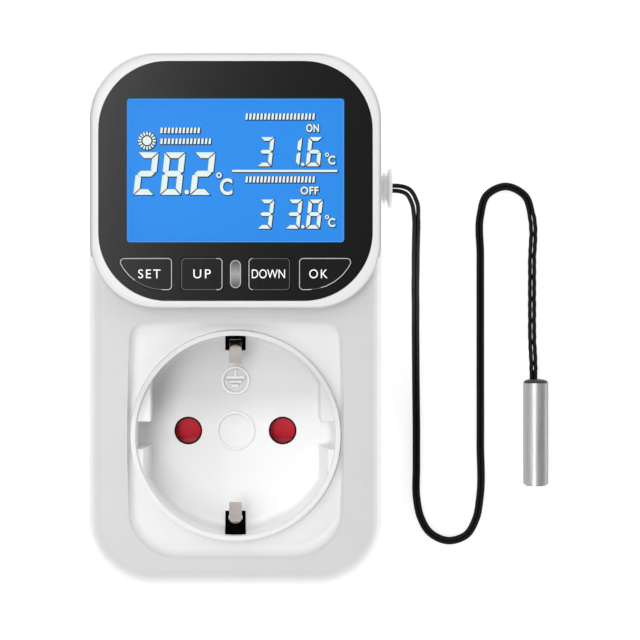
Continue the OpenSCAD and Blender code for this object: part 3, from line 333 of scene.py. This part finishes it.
# Painted highlights on the edges of the keys and the lamp: bright where light would catch them,
# faint elsewhere
KEY_EDGE_HIGHLIGHT = moulded("bright_painted_highlight", (0.5, 0.5, 0.5), 0.35, 0.001)
KEY_EDGE_FAINT_HIGHLIGHT = moulded("faint_painted_highlight", (0.07, 0.07, 0.07), 0.35, 0.001)


def dress_nodes():
    slot_of = {s["node"]: s["material_slot"] for s in frame["record"]["subparts"]}
    for name, node in NODES.items():
        node.data.materials.clear()
        node.data.materials.append(SLOT_MATERIALS[slot_of[name]])
    NODES["socket_insert"].data.materials[0] = SOCKET_WHITE


# Building blocks
def piece(name, points, faces, material, slot, body="case", smooth=False):
    """A mesh from points in millimetres, riding on a body."""
    mesh = bpy.data.meshes.new(name)
    mesh.from_pydata([Vector(p) * MM for p in points], [], faces)
    mesh.validate()
    mesh.materials.append(material)
    if smooth:
        mesh.shade_smooth()
    made = bpy.data.objects.new(name, mesh)
    bpy.context.scene.collection.objects.link(made)
    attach(made, body)
    return made


def solid_of(outline, base, top):
    """Points and faces of a flat outline drawn up from base to top."""
    n = len(outline)
    points = [(x, y, z) for z in (base, top) for x, y in outline]
    faces = [list(range(n - 1, -1, -1)), list(range(n, 2 * n))]
    faces += [[k, (k + 1) % n, n + (k + 1) % n, n + k] for k in range(n)]
    return points, faces


def rectangle(x0, x1, y0, y1):
    return [(x0, y0), (x1, y0), (x1, y1), (x0, y1)]


def joined(parts):
    """Points and faces of several solids as one."""
    points, faces = [], []
    for more_points, more_faces in parts:
        start = len(points)
        points += more_points
        faces += [[start + k for k in face] for face in more_faces]
    return points, faces


def circle(x, y, r, steps=24):
    return [
        (x + r * math.cos(math.tau * k / steps), y + r * math.sin(math.tau * k / steps))
        for k in range(steps)
    ]


def ring_solid(x, y, outer, inner, base, top, steps=24):
    """Points and faces of a flat ring."""
    rims = [circle(x, y, r, steps) for r in (outer, inner)]
    points = [(*p, z) for z in (base, top) for rim in rims for p in rim]
    faces = []
    for k in range(steps):
        m = (k + 1) % steps
        for a, b in ((2, 3), (3, 1), (1, 0), (0, 2)):
            faces.append([a * steps + k, a * steps + m, b * steps + m, b * steps + k])
    return points, faces


def ribbon(line, width, base, top, closed=False):
    """Points and faces of a strip of one width along a flat line."""
    n = len(line)
    rows = []
    for k, at in enumerate(line):
        before = line[k - 1] if k or closed else at
        after = line[(k + 1) % n] if k < n - 1 or closed else at
        run = Vector((after[0] - before[0], after[1] - before[1])).normalized()
        side = Vector((-run.y, run.x)) * width / 2
        rows.append([(at[0] + s * side.x, at[1] + s * side.y, z)
                     for s, z in ((-1, base), (1, base), (1, top), (-1, top))])
    points = [p for row in rows for p in row]
    faces = []
    for k in range(n if closed else n - 1):
        a, b = 4 * k, 4 * ((k + 1) % n)
        faces += [[a + j, b + j, b + (j + 1) % 4, a + (j + 1) % 4] for j in range(4)]
    if not closed:
        faces += [[3, 2, 1, 0], [4 * n - 4 + j for j in range(4)]]
    return points, faces


def arc(x, y, r, start, end, steps):
    """Points on an arc, from start to end in degrees."""
    angles = [math.radians(start + (end - start) * k / steps) for k in range(steps + 1)]
    return [(x + r * math.cos(a), y + r * math.sin(a)) for a in angles]


LETTER_T = 0.01


def lettering(name, words, x, y, width, height, z, material, body, bold=0.0,
              spacing=1.0):
    """Words as a thin solid that fills a width and a height centred on x and y."""
    curve = bpy.data.curves.new(name, "FONT")
    curve.body = words
    curve.align_x = "CENTER"
    curve.align_y = "CENTER"
    curve.size = height * MM
    curve.offset = bold * MM
    curve.extrude = LETTER_T * MM
    curve.space_character = spacing
    text = bpy.data.objects.new(name + "_text", curve)
    bpy.context.scene.collection.objects.link(text)
    bpy.context.view_layer.update()
    depsgraph = bpy.context.evaluated_depsgraph_get()
    mesh = bpy.data.meshes.new_from_object(text.evaluated_get(depsgraph))
    bpy.data.objects.remove(text)
    for axis, at, size in ((0, x, width), (1, y, height)):
        least = min(v.co[axis] for v in mesh.vertices)
        most = max(v.co[axis] for v in mesh.vertices)
        for v in mesh.vertices:
            v.co[axis] = (at + ((v.co[axis] - least) / (most - least) - 0.5) * size) * MM
    for v in mesh.vertices:
        v.co.z += z * MM
    mesh.materials.clear()
    mesh.materials.append(material)
    made = bpy.data.objects.new(name, mesh)
    bpy.context.scene.collection.objects.link(made)
    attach(made, body)
    return made


# The free lead
LEAD_LENGTH = 241
LOBE_R = 0.44
LOBE_SIDES = 10
LINE_STEP = 0.4
LEAD_ROUTE = [
    (31.4, 48.8, 18), (32.4, 48.8, 18), (34.6, 48.3, 17), (36.2, 46.2, 14.8),
    (36.9, 42.8, 11.2), (37.2, 39.2, 6.6), (37.5, 35.6, 1.2), (37.9, 32, -4.8),
    (38.3, 28.4, -11.2), (38.8, 24.4, -17.6), (39.2, 20, -23.6), (39.6, 15, -28.8),
    (39.9, 9.4, -32.6), (40.1, 3.4, -34.6), (40.2, -3, -35.1), (40.2, -11, -35.1),
    (40.3, -18.6, -35.1), (41.1, -22.3, -35.1), (43.1, -25.7, -35.1), (47.3, -27.6, -35.1),
    (51.3, -26.3, -35.1), (53.4, -22.8, -35.1), (54.3, -18, -35.1), (54.4, -6, -35.1),
    (54.4, 8, -35.1), (54.4, 22, -35.1), (54.4, 36, -35.1), (54.4, 44.6, -35.1),
    (55.8, 49.1, -35.1), (60, 51.1, -35.1), (64.4, 48.9, -35.1), (65.8, 44.6, -35.1),
    (65.9, 34, -35.1), (65.9, 24, -35.1), (65.9, 16.6, -34.7), (66, 12, -33.6),
    (66, 8.4, -33.25), (66, 7.2, -33.25),
]


def smooth_line(points, step):
    """Points on the smooth curve through some points, about step apart."""
    points = [Vector(p) for p in points]
    last = len(points) - 1

    def slope(k):
        if k == 0:
            return (points[1] - points[0]).normalized()
        if k == last:
            return (points[last] - points[last - 1]).normalized()
        before, after = points[k] - points[k - 1], points[k + 1] - points[k]
        a, b = before.length, after.length
        return (before / a * b + after / b * a) / (a + b)

    line = []
    for k in range(last):
        length = (points[k + 1] - points[k]).length
        steps = max(1, math.ceil(length / step))
        for i in range(steps):
            t = i / steps
            line.append(
                (2 * t**3 - 3 * t**2 + 1) * points[k]
                + (t**3 - 2 * t**2 + t) * length * slope(k)
                + (3 * t**2 - 2 * t**3) * points[k + 1]
                + (t**3 - t**2) * length * slope(k + 1)
            )
    return line + [points[last]]


def between(value, stops):
    """The value of a smooth curve through (place, value) stops."""
    for (a, low_value), (b, high_value) in zip(stops, stops[1:]):
        if value <= b:
            t = max(0, (value - a) / (b - a))
            return low_value + (high_value - low_value) * t * t * (3 - 2 * t)
    return stops[-1][1]


# How far each core is from the middle of the lead
CORE_SPREAD = [(0, 0.5), (4, 0.56), (8, 0.54), (12, 0.42), (300, 0.42)]
# On this stretch thin gaps show between the cores, in waves of so many to a pitch
GAPS_FROM, GAPS_TO = 203, LEAD_LENGTH - 3
GAP_PITCH = 4.8
GAP_WAVES = ((1, 0.015), (2, 0.035))


def lead_mesh(line):
    """Two round cores side by side along a line, and none lower than the floor."""
    points, faces = [], []
    n = len(line)
    for side_sign in (-1, 1):
        start, far = len(points), 0
        for k, at in enumerate(line):
            far += (at - line[k - 1]).length if k else 0
            run = (line[min(k + 1, n - 1)] - line[max(k - 1, 0)]).normalized()
            side = run.cross(UP).normalized()
            rise = side.cross(run)
            spread = between(far, CORE_SPREAD)
            if GAPS_FROM < far < GAPS_TO:
                turn = math.tau * (far - GAPS_FROM) / GAP_PITCH
                spread += sum(by * (1 - math.cos(times * turn)) for times, by in GAP_WAVES)
            middle = at + side * side_sign * spread
            middle += UP * max(0, FLOOR_Z + LOBE_R - middle.z)
            for j in range(LOBE_SIDES):
                a = math.tau * j / LOBE_SIDES
                points.append(middle + (side * math.cos(a) + rise * math.sin(a)) * LOBE_R)
        for k in range(n - 1):
            for j in range(LOBE_SIDES):
                a = start + k * LOBE_SIDES + j
                b = start + k * LOBE_SIDES + (j + 1) % LOBE_SIDES
                faces.append([a, b, b + LOBE_SIDES, a + LOBE_SIDES])
        faces.append([start + j for j in range(LOBE_SIDES - 1, -1, -1)])
        faces.append([start + (n - 1) * LOBE_SIDES + j for j in range(LOBE_SIDES)])
    return points, faces


def make_lead():
    line = smooth_line(LEAD_ROUTE, LINE_STEP)
    points, faces = lead_mesh(line)
    lead = piece("probe_lead_pair", points, faces, SLOT_MATERIALS["black_lead"],
                 "black_lead", smooth=True)
    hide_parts("probe_cord")


# The display
MARK_Z = GLASS_Z + 0.04
MARK_T = 0.03
SHADE_Z = MARK_Z - 0.03
SHADE_T = 0.02
SHADE_SHIFT = (0.09, -0.09)
SHADE_GROW = 0.12
SLANT = 0.11
SEGMENT_GAP = 0.3
# Which strokes each figure lights
SEGMENTS = {"1": "bc", "2": "abged", "3": "abgcd", "6": "afgedc", "8": "abcdefg"}


def segment_outlines(w, h, t, gap):
    """The seven strokes of an upright figure whose lower left corner is at zero."""
    m, g = h / 2, gap / 2
    # How far the tips, corners and notches of the strokes at half height stand in
    tip, corner, notch = t * 0.2, t * 0.75, t * 0.45
    sides = {
        "a": [(g, h), (w - g, h), (w - t - g, h - t), (t + g, h - t)],
        "d": [(g, 0), (t + g, t), (w - t - g, t), (w - g, 0)],
        "g": [(g + tip, m), (corner + g, m + t / 2), (w - corner - g, m + t / 2),
              (w - g - tip, m), (w - corner - g, m - t / 2), (corner + g, m - t / 2)],
        "f": [(0, h - g), (t, h - t - g), (t, m + t / 2 + g), (notch, m + g), (0, m + g + tip)],
        "e": [(0, g), (0, m - g - tip), (notch, m - g), (t, m - t / 2 - g), (t, t + g)],
    }
    sides["b"] = [(w - x, y) for x, y in sides["f"]]
    sides["c"] = [(w - x, y) for x, y in sides["e"]]
    return sides


def figure(digit, x, y, w, h, t):
    """Outlines of one slanted figure, with its lower left corner at x and y."""
    strokes = segment_outlines(w, h, t, SEGMENT_GAP)
    return [[(x + px + py * SLANT, y + py) for px, py in strokes[s]] for s in SEGMENTS[digit]]


# Each row: figures with their left ends, lower end, width, height, stroke and point
FIGURE_ROWS = [
    {"figures": [("2", -19.8), ("8", -14.6), ("2", -8.8)], "low": 46.8, "w": 4.0, "h": 8.25,
     "t": 1.12, "point": (-9.45, 47.35, 0.44)},
    {"figures": [("3", 4.2), ("1", 9.6), ("6", 13.6)], "low": 52.35, "w": 2.72, "h": 5.65,
     "t": 0.72, "point": (13.05, 52.72, 0.34)},
    {"figures": [("3", 4.2), ("3", 9.65), ("8", 13.6)], "low": 40.25, "w": 2.72, "h": 5.65,
     "t": 0.72, "point": (13.05, 40.62, 0.34)},
]
# Middle and two radii, then middle, width, height and boldness
DEGREE_SIGNS = [(-3.2, 50.6, 0.56, 0.27), (17.75, 54.6, 0.42, 0.2), (17.75, 42.5, 0.42, 0.2)]
CELSIUS_SIGNS = [(-1.8, 48.4, 2.4, 3.25, 0.1), (18.65, 53.55, 1.4, 1.75, 0.06),
                 (18.65, 41.45, 1.4, 1.75, 0.06)]
SWITCH_WORDS = [("ON", 14.95, 59.75, 2.5, 1.55), ("OFF", 14.35, 47.65, 3.5, 1.55)]
WORD_BOLD = 0.05
WORD_SPACING = 1.1
# Left end, right end, middle height and thickness
DIVIDER = (-0.65, 19.75, 51.45, 0.42)
SUN_AT = (-17.15, 57.3)
SUN_R = 0.86
SUN_RAYS = 16
# Near end, far end, half the width, and the near end's share of that width
SUN_RAY = (1.08, 1.72, 0.2, 0.7)
POINT_SIDES = 16
# Rows of small bars: left end, right end, middle height and bar height
BAR_ROWS = [(-14.6, -6.2, 59.3, 1.1), (-14.6, -4.2, 57.2, 1.1), (1.9, 16.1, 62.0, 1.2),
            (1.9, 16.1, 49.8, 1.2)]
BAR_STEP = 0.72
BAR_W = 0.42


# Sharp corners of a grown outline run out to by / LEAST_MITRE at most
LEAST_MITRE = 0.5


def grown(loop, by):
    """A flat outline grown outwards on all sides."""
    area = sum(a[0] * b[1] - b[0] * a[1] for a, b in zip(loop, loop[1:] + loop[:1]))
    sign = 1 if area > 0 else -1
    made = []
    for k, p in enumerate(loop):
        sides = []
        for a, b in ((loop[k - 1], p), (p, loop[(k + 1) % len(loop)])):
            run = Vector((b[0] - a[0], b[1] - a[1])).normalized()
            sides.append(Vector((run.y, -run.x)) * sign)
        out = (sides[0] + sides[1]).normalized()
        reach = by / max(LEAST_MITRE, out.dot(sides[0]))
        made.append((p[0] + out.x * reach, p[1] + out.y * reach))
    return made


def display_marks():
    """Outlines of all lit forms on the display, apart from its letters and rings."""
    flats = []
    for row in FIGURE_ROWS:
        for digit, x in row["figures"]:
            flats += figure(digit, x, row["low"], row["w"], row["h"], row["t"])
        flats.append(circle(*row["point"], POINT_SIDES))
    flats.append(circle(*SUN_AT, SUN_R))
    near, far, half, taper = SUN_RAY
    ray = ((near, -half * taper), (far, -half), (far, half), (near, half * taper))
    for k in range(SUN_RAYS):
        a = math.tau * k / SUN_RAYS
        run, side = Vector((math.cos(a), math.sin(a))), Vector((-math.sin(a), math.cos(a)))
        flats.append([tuple(Vector(SUN_AT) + run * out + side * off) for out, off in ray])
    for left, right, y, h in BAR_ROWS:
        for k in range(int((right - left) / BAR_STEP)):
            x = left + k * BAR_STEP
            flats.append([(x, y - h / 2), (x + BAR_W, y - h / 2),
                          (x + BAR_W + h * SLANT, y + h / 2), (x + h * SLANT, y + h / 2)])
    x0, x1, y, t = DIVIDER
    flats.append(rectangle(x0, x1, y - t / 2, y + t / 2))
    return flats


def make_display():
    flats = display_marks()
    for name, material, (dx, dy), grow, base, thick in (
            ("display_marks", LIT, (0, 0), 0, MARK_Z, MARK_T),
            ("display_mark_shade", SHADE, SHADE_SHIFT, SHADE_GROW, SHADE_Z, SHADE_T)):
        parts = [solid_of([(x + dx, y + dy) for x, y in grown(flat, grow)], base, base + thick)
                 for flat in flats]
        parts += [ring_solid(x + dx, y + dy, outer + grow, inner - grow / 2, base, base + thick)
                  for x, y, outer, inner in DEGREE_SIGNS]
        piece(name, *joined(parts), material, "light_guide")
        for k, (x, y, width, height, bold) in enumerate(CELSIUS_SIGNS):
            lettering(f"{name}_celsius_{k}", "C", x + dx, y + dy, width + 2 * grow,
                      height + 2 * grow, base, material, "case", bold + grow)
        for k, (words, x, y, width, height) in enumerate(SWITCH_WORDS):
            lettering(f"{name}_state_{k}", words, x + dx, y + dy, width + 2 * grow,
                      height + 2 * grow, base, material, "case",
                      WORD_BOLD + grow, WORD_SPACING)
    make_window_edge()


WINDOW_EDGE = 0.16
WINDOW_EDGE_Z = (GLASS_Z + 0.01, GLASS_Z + 0.03)
WINDOW_EDGE_LIT = glowing("window_edge", (0.07, 0.36, 0.95))


def make_window_edge():
    """The lit edge of the display, seen just inside the window."""
    a, b = low("display_window"), high("display_window")
    inset = WINDOW_EDGE / 2
    line = rectangle(a.x + inset, b.x - inset, a.y + inset, b.y - inset)
    parts = [ribbon([start, end], WINDOW_EDGE, *WINDOW_EDGE_Z)
             for start, end in zip(line, line[1:] + line[:1])]
    piece("window_edge", *joined(parts), WINDOW_EDGE_LIT, "light_guide")


# The keys: label, its middle, width and spacing
KEY_LABELS = [("set", "SET", -16.62, 4.3, 1.25), ("up", "UP", -6.45, 3.35, 1.3),
              ("down", "DOWN", 6.35, 6.4, 1.0), ("ok", "OK", 16.0, 3.55, 1.25)]
LABEL_Y = 31.5
LABEL_H = 1.72
LABEL_Z = KEY_Z + 0.015
OUTLINE_W = 0.15
OUTLINE_T = 0.03
OUTLINE_INSET = 0.09
OUTLINE_STEP = 0.4
CAP_REACH = 0.1
PILL_STEPS = 14


def hull(points):
    """The convex outline of some flat points, anticlockwise."""
    def chain(points):
        line = []
        for p in points:
            while len(line) > 1 and ((line[-1][0] - line[-2][0]) * (p[1] - line[-2][1])
                                     - (line[-1][1] - line[-2][1]) * (p[0] - line[-2][0])) <= 0:
                line.pop()
            line.append(p)
        return line[:-1]

    points = sorted(points)
    return chain(points) + chain(points[::-1])


def inward(loop, k):
    """Direction into an anticlockwise loop at its point k."""
    a, b = loop[k - 1], loop[(k + 1) % len(loop)]
    run = Vector((b[0] - a[0], b[1] - a[1])).normalized()
    return Vector((-run.y, run.x))


def flat_points(node, z, reach):
    """The places of a node's vertices within reach of a height."""
    return {(round(v.co.x / MM, 4), round(v.co.y / MM, 4))
            for v in NODES[node].data.vertices if abs(v.co.z / MM - z) < reach}


def key_loop(node):
    """The edge of a key's cap, drawn in a little."""
    loop = hull(flat_points(node, KEY_Z, CAP_REACH))
    return [tuple(Vector(p) + inward(loop, k) * OUTLINE_INSET) for k, p in enumerate(loop)]


def cut_up(loop, step):
    """The loop with no side longer than step."""
    line = []
    for k, a in enumerate(loop):
        b = loop[(k + 1) % len(loop)]
        pieces = max(1, math.ceil(math.dist(a, b) / step))
        line += [(a[0] + (b[0] - a[0]) * i / pieces, a[1] + (b[1] - a[1]) * i / pieces)
                 for i in range(pieces)]
    return line


def catches_light(key, x, y, left, right, bottom, upper):
    """Whether this place of a key's edge gets the bright painted highlight rather than the
    faint one.

    The numbers are distances in millimetres from the key's four sides.
    """
    if key == "set":
        return (y > upper - 0.5 or x > right - 0.5 or (x > right - 2 and y < bottom + 0.4)
                or (x < left + 2.9 and y > bottom + 1.7))
    if key == "ok":
        return (y > upper - 0.5 or x < left + 0.5 or x > left + 4
                or (x < left + 2.4 and y < bottom + 0.4))
    if key == "up":
        return x > right - 1
    return x < left + 0.7


def make_keys():
    for key, words, x, width, spacing in KEY_LABELS:
        body = f"{key}_key"
        lettering(f"{key}_label", words, x, LABEL_Y, width, LABEL_H, LABEL_Z, PRINT,
                  body, spacing=spacing)
        loop = cut_up(key_loop(f"{key}_button"), OUTLINE_STEP)
        xs, ys = [p[0] for p in loop], [p[1] for p in loop]
        box = (min(xs), max(xs), min(ys), max(ys))
        strips = {True: [], False: []}
        for a, b in zip(loop, loop[1:] + loop[:1]):
            bright = catches_light(key, (a[0] + b[0]) / 2, (a[1] + b[1]) / 2, *box)
            strips[bright].append(ribbon([a, b], OUTLINE_W, KEY_Z, KEY_Z + OUTLINE_T))
        # Painted highlights round the edge of the key's cap
        piece(f"{key}_bright_painted_edge", *joined(strips[True]), KEY_EDGE_HIGHLIGHT, "black_keys", body)
        piece(f"{key}_faint_painted_highlight", *joined(strips[False]), KEY_EDGE_FAINT_HIGHLIGHT, "black_keys", body)
    make_lamp_highlight()


# A painted highlight round the lamp's lens
def make_lamp_highlight():
    a, b = key_box("led_lens")
    half = (b[0] - a[0]) / 2 - OUTLINE_INSET
    middle, y = (a[0] + b[0]) / 2, (a[1] + b[1]) / 2
    rise = (b[1] - a[1]) / 2 - OUTLINE_INSET - half
    pill = (arc(middle, y + rise, half, 0, 180, PILL_STEPS)
            + arc(middle, y - rise, half, 180, 360, PILL_STEPS))
    piece("lamp_painted_highlight", *ribbon(pill, OUTLINE_W, PANEL_Z, PANEL_Z + OUTLINE_T, closed=True),
          KEY_EDGE_HIGHLIGHT, "grey_lens")


def key_box(node):
    """Lower left and upper right corner of a node's highest face."""
    points = [v.co / MM for v in NODES[node].data.vertices]
    top = max(p.z for p in points)
    face = [p for p in points if p.z > top - CAP_REACH]
    return ((min(p.x for p in face), min(p.y for p in face)),
            (max(p.x for p in face), max(p.y for p in face)))


# The socket
FLOOR_OF_RECESS = 18.5
HOLE_X = 9.5
HOLE_R = 2.8
# Dark rings of painted shade inside the pin holes: width, clearance from the hole's wall and
# heights
HOLE_SHADE_W = 0.32
HOLE_SHADE_CLEAR = 0.01
HOLE_SHADE_Z = (FLOOR_OF_RECESS - 0.6, FLOOR_OF_RECESS - 0.15)
HOLE_SIDES = 48
RELIEF_Z = FLOOR_OF_RECESS + 0.2
RELIEF_TOP = FLOOR_OF_RECESS + 0.42
RELIEF_SIDES = 64
# Half widths of the earth slots and their clips
SLOT_HALF = 2.05
CLIP_HALF = 1.4
# Painted shade at the bottom of each slot round its clip: x from and to, then distances from
# the middle
SLOT_SHADES = ((-SLOT_HALF, SLOT_HALF, 16.2, 17.45), (-SLOT_HALF, SLOT_HALF, 18.35, 21.3),
               (-SLOT_HALF, -CLIP_HALF, 17.45, 18.35), (CLIP_HALF, SLOT_HALF, 17.45, 18.35))
SLOT_SHADE_Z = (14.6, 15.2)
# The earth symbol: middle and two radii of its ring, and its strokes
EARTH_RING = (0, 10.1, 2.82, 2.45)
EARTH_STROKES = ((-0.2, 0.2, 10.9, 12.2), (-1.75, 1.75, 10.55, 10.95),
                 (-1.2, 1.2, 9.65, 10.0), (-0.65, 0.65, 8.85, 9.2))
MIDDLE_RING = (0, 0, 3.84, 3.55)
MIDDLE_RING_TOP = RELIEF_TOP - 0.06


def make_socket():
    # Painted shade: dark rings in the pin holes and dark patches in the earth slots round their
    # clips
    hole_shades = [ring_solid(x, 0, HOLE_R - HOLE_SHADE_CLEAR, HOLE_R - HOLE_SHADE_W, *HOLE_SHADE_Z,
                         HOLE_SIDES) for x in (-HOLE_X, HOLE_X)]
    piece("pin_hole_shades", *joined(hole_shades), PAINTED_DEEP_SHADE, "dark_plastic")
    shades = []
    for side in (-1, 1):
        for x0, x1, near, far in SLOT_SHADES:
            y0, y1 = sorted((side * near, side * far))
            shades.append(solid_of(rectangle(x0, x1, y0, y1), *SLOT_SHADE_Z))
    piece("earth_slot_shades", *joined(shades), PAINTED_DEEP_SHADE, "dark_plastic")
    # The raised earth symbol and middle ring, whitened as a painted highlight
    relief = [ring_solid(*EARTH_RING, RELIEF_Z, RELIEF_TOP, RELIEF_SIDES),
              ring_solid(*MIDDLE_RING, RELIEF_Z, MIDDLE_RING_TOP, RELIEF_SIDES)]
    relief += [solid_of(rectangle(*stroke), RELIEF_Z, RELIEF_TOP) for stroke in EARTH_STROKES]
    piece("socket_relief", *joined(relief), RELIEF_WHITE_HIGHLIGHT, "white_case")


# The dish round the socket: its wall runs out softly into its floor
DISH_Z = 34.5
DISH_TOP = 36
# The dish's floor lies within these places
DISH_HALF_X = 21.3
DISH_Y = (-24.3, 23)
DISH_STEP = 0.8
DISH_REACH = 0.05
# The fillet's width above and below the socket, and its share of that at the sides
FILLET_W = 2.6
FILLET_SIDE = 0.35
# It gets narrower by steps, down to the least width, until it clears the cup
FILLET_LEAST = 0.3
FILLET_GIVE = 0.05
CUP_CLEAR = 20.55
# Its upper edge, its depth, and its foot just over the floor
FILLET_TOP = DISH_TOP - 0.01
FILLET_DEPTH = DISH_TOP - DISH_Z - 0.02
FILLET_FOOT = DISH_Z + 0.005
FILLET_STEPS = (0, 0.08, 0.18, 0.3, 0.45, 0.62, 0.8, 1)
FILLET_CREASE = math.radians(40)


def make_dish_fillet():
    inside = [p for p in flat_points("front_housing", DISH_Z, DISH_REACH)
              if abs(p[0]) < DISH_HALF_X and DISH_Y[0] < p[1] < DISH_Y[1]]
    loop = cut_up(hull(inside), DISH_STEP)
    points, faces = [], []
    row = len(FILLET_STEPS) + 2
    for k, p in enumerate(loop):
        way = inward(loop, k)
        widest = width = FILLET_W * (FILLET_SIDE + (1 - FILLET_SIDE) * abs(way.y))
        while width > FILLET_LEAST and (Vector(p) + way * width).length < CUP_CLEAR:
            width -= FILLET_GIVE
        depth = FILLET_DEPTH * (width / widest) ** 2
        for t in FILLET_STEPS:
            at = Vector(p) + way * width * t
            points.append((at.x, at.y, FILLET_TOP - depth * (1 - (1 - t) ** 2)))
        points += [(at.x, at.y, FILLET_FOOT), (*p, FILLET_FOOT)]
    n = len(loop)
    for k in range(n):
        a, b = k * row, (k + 1) % n * row
        faces += [[a + j, b + j, b + (j + 1) % row, a + (j + 1) % row] for j in range(row)]
    made = piece("dish_fillet", points, faces, SLOT_MATERIALS["white_case"], "white_case",
                 smooth=True)
    made.data.set_sharp_from_angle(angle=FILLET_CREASE)


def make_shutter_coil():
    node = NODES["shutter_spring"]
    slot = next(s["material_slot"] for s in frame["record"]["subparts"]
                if s["node"] == "shutter_spring")
    coil = piece("shutter_coil", [v.co / MM for v in node.data.vertices],
                 [list(p.vertices) for p in node.data.polygons], SLOT_MATERIALS[slot], slot,
                 smooth=True)
    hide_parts("shutter_spring")
    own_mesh(coil)


# A painted shade line: a grey strip where the head's side stands on the case's rounded edge
HEAD_SIDE_Z = 38.6
HEAD_SIDE_REACH = 0.03
FOOT_SHADE_SECTION = [(-0.05, 35.4), (0.42, 34.4), (-0.05, 34.2)]


def make_head_foot_shade():
    loop = hull(flat_points("front_housing", HEAD_SIDE_Z, HEAD_SIDE_REACH))
    points, faces = [], []
    for k, p in enumerate(loop):
        for out, z in FOOT_SHADE_SECTION:
            at = Vector(p) - inward(loop, k) * out
            points.append((at.x, at.y, z))
    row, n = len(FOOT_SHADE_SECTION), len(loop)
    for k in range(n):
        a, b = k * row, (k + 1) % n * row
        faces += [[a + j, a + (j + 1) % row, b + (j + 1) % row, b + j] for j in range(row)]
    piece("head_foot_shade", points, faces, HEAD_FOOT_SHADE, "white_case")


# The bead of potting in the capsule's mouth: radii and how far each stands out
BEAD_PROFILE = [(2.7, -0.02), (2.62, 0.35), (2.3, 0.62), (1.6, 0.8), (0.95, 0.86)]
BEAD_SIDES = 40


def make_potting():
    a, b = low("probe_capsule"), high("probe_capsule")
    x, z, y = (a.x + b.x) / 2, (a.z + b.z) / 2, b.y
    points, faces = [], []
    for r, out in BEAD_PROFILE:
        for k in range(BEAD_SIDES):
            t = math.tau * k / BEAD_SIDES
            points.append((x + r * math.cos(t), y + out, z + r * math.sin(t)))
    for row in range(len(BEAD_PROFILE) - 1):
        for k in range(BEAD_SIDES):
            p, q = row * BEAD_SIDES + k, row * BEAD_SIDES + (k + 1) % BEAD_SIDES
            faces.append([p, p + BEAD_SIDES, q + BEAD_SIDES, q])
    faces.append(list(range(BEAD_SIDES)))
    last = (len(BEAD_PROFILE) - 1) * BEAD_SIDES
    faces.append([last + k for k in range(BEAD_SIDES - 1, -1, -1)])
    piece("capsule_potting", points, faces, SLOT_MATERIALS["dark_plastic"], "dark_plastic",
          smooth=True)


# Floor and light
FLOOR_HALF = 3000
FLOOR_TOP = FLOOR_Z - 0.1
WORLD_STRENGTH = 0.3
# Place, target, size in millimetres, radiance, and whether it shows in reflections
LIGHTS = {
    "over_left": ((-138, 60, 640), (0, 30, 0), (500, 150), 6.2, True),
    "top_wall": ((0, 520, 400), (0, 20, 10), (900, 560), 1.15, True),
    "left_box": ((-400, 40, 420), (0, 30, 0), (700, 150), 2.5, True),
    "right_wall": ((520, 30, 120), (0, 30, 0), (900, 260), 2.2, False),
    "low_wall": ((0, -460, 200), (0, 30, 0), (900, 400), 1.5, True),
}


def make_floor():
    mesh = bpy.data.meshes.new("floor")
    outline = rectangle(-FLOOR_HALF, FLOOR_HALF, -FLOOR_HALF, FLOOR_HALF)
    mesh.from_pydata([Vector((x, y, FLOOR_TOP)) * MM for x, y in outline], [], [(0, 1, 2, 3)])
    material = plain("floor", (0.5, 0.5, 0.5), 0.8, Emission_Strength=0.62)
    shader(material).inputs["Emission Color"].default_value = (1, 1, 1, 1)
    mottle(material, 300, (0.495, 0.495, 0.495), (0.505, 0.505, 0.505))
    mesh.materials.append(material)
    floor = bpy.data.objects.new("floor", mesh)
    bpy.context.scene.collection.objects.link(floor)


def area_light(name, at, target, size, radiance, shines):
    data = bpy.data.lights.new(name, "AREA")
    data.shape = "RECTANGLE"
    data.size, data.size_y = size[0] * MM, size[1] * MM
    data.energy = radiance * math.pi * data.size * data.size_y
    light = bpy.data.objects.new(name, data)
    light.location = Vector(at) * MM
    light.rotation_euler = (Vector(target) - Vector(at)).to_track_quat("-Z", "Y").to_euler()
    light.visible_camera = False
    light.visible_glossy = shines
    bpy.context.scene.collection.objects.link(light)


def make_light():
    world = bpy.data.worlds.new("studio")
    world.use_nodes = True
    background = world.node_tree.nodes["Background"]
    background.inputs["Color"].default_value = (1, 1, 1, 1)
    background.inputs["Strength"].default_value = WORLD_STRENGTH
    bpy.context.scene.world = world
    for name, settings in LIGHTS.items():
        area_light(name, *settings)
    bpy.context.scene.view_settings.view_transform = "Standard"


make_camera()
make_lead()
dress_nodes()
make_display()
make_keys()
make_socket()
make_dish_fillet()
make_head_foot_shade()
make_shutter_coil()
make_potting()
make_floor()
make_light()
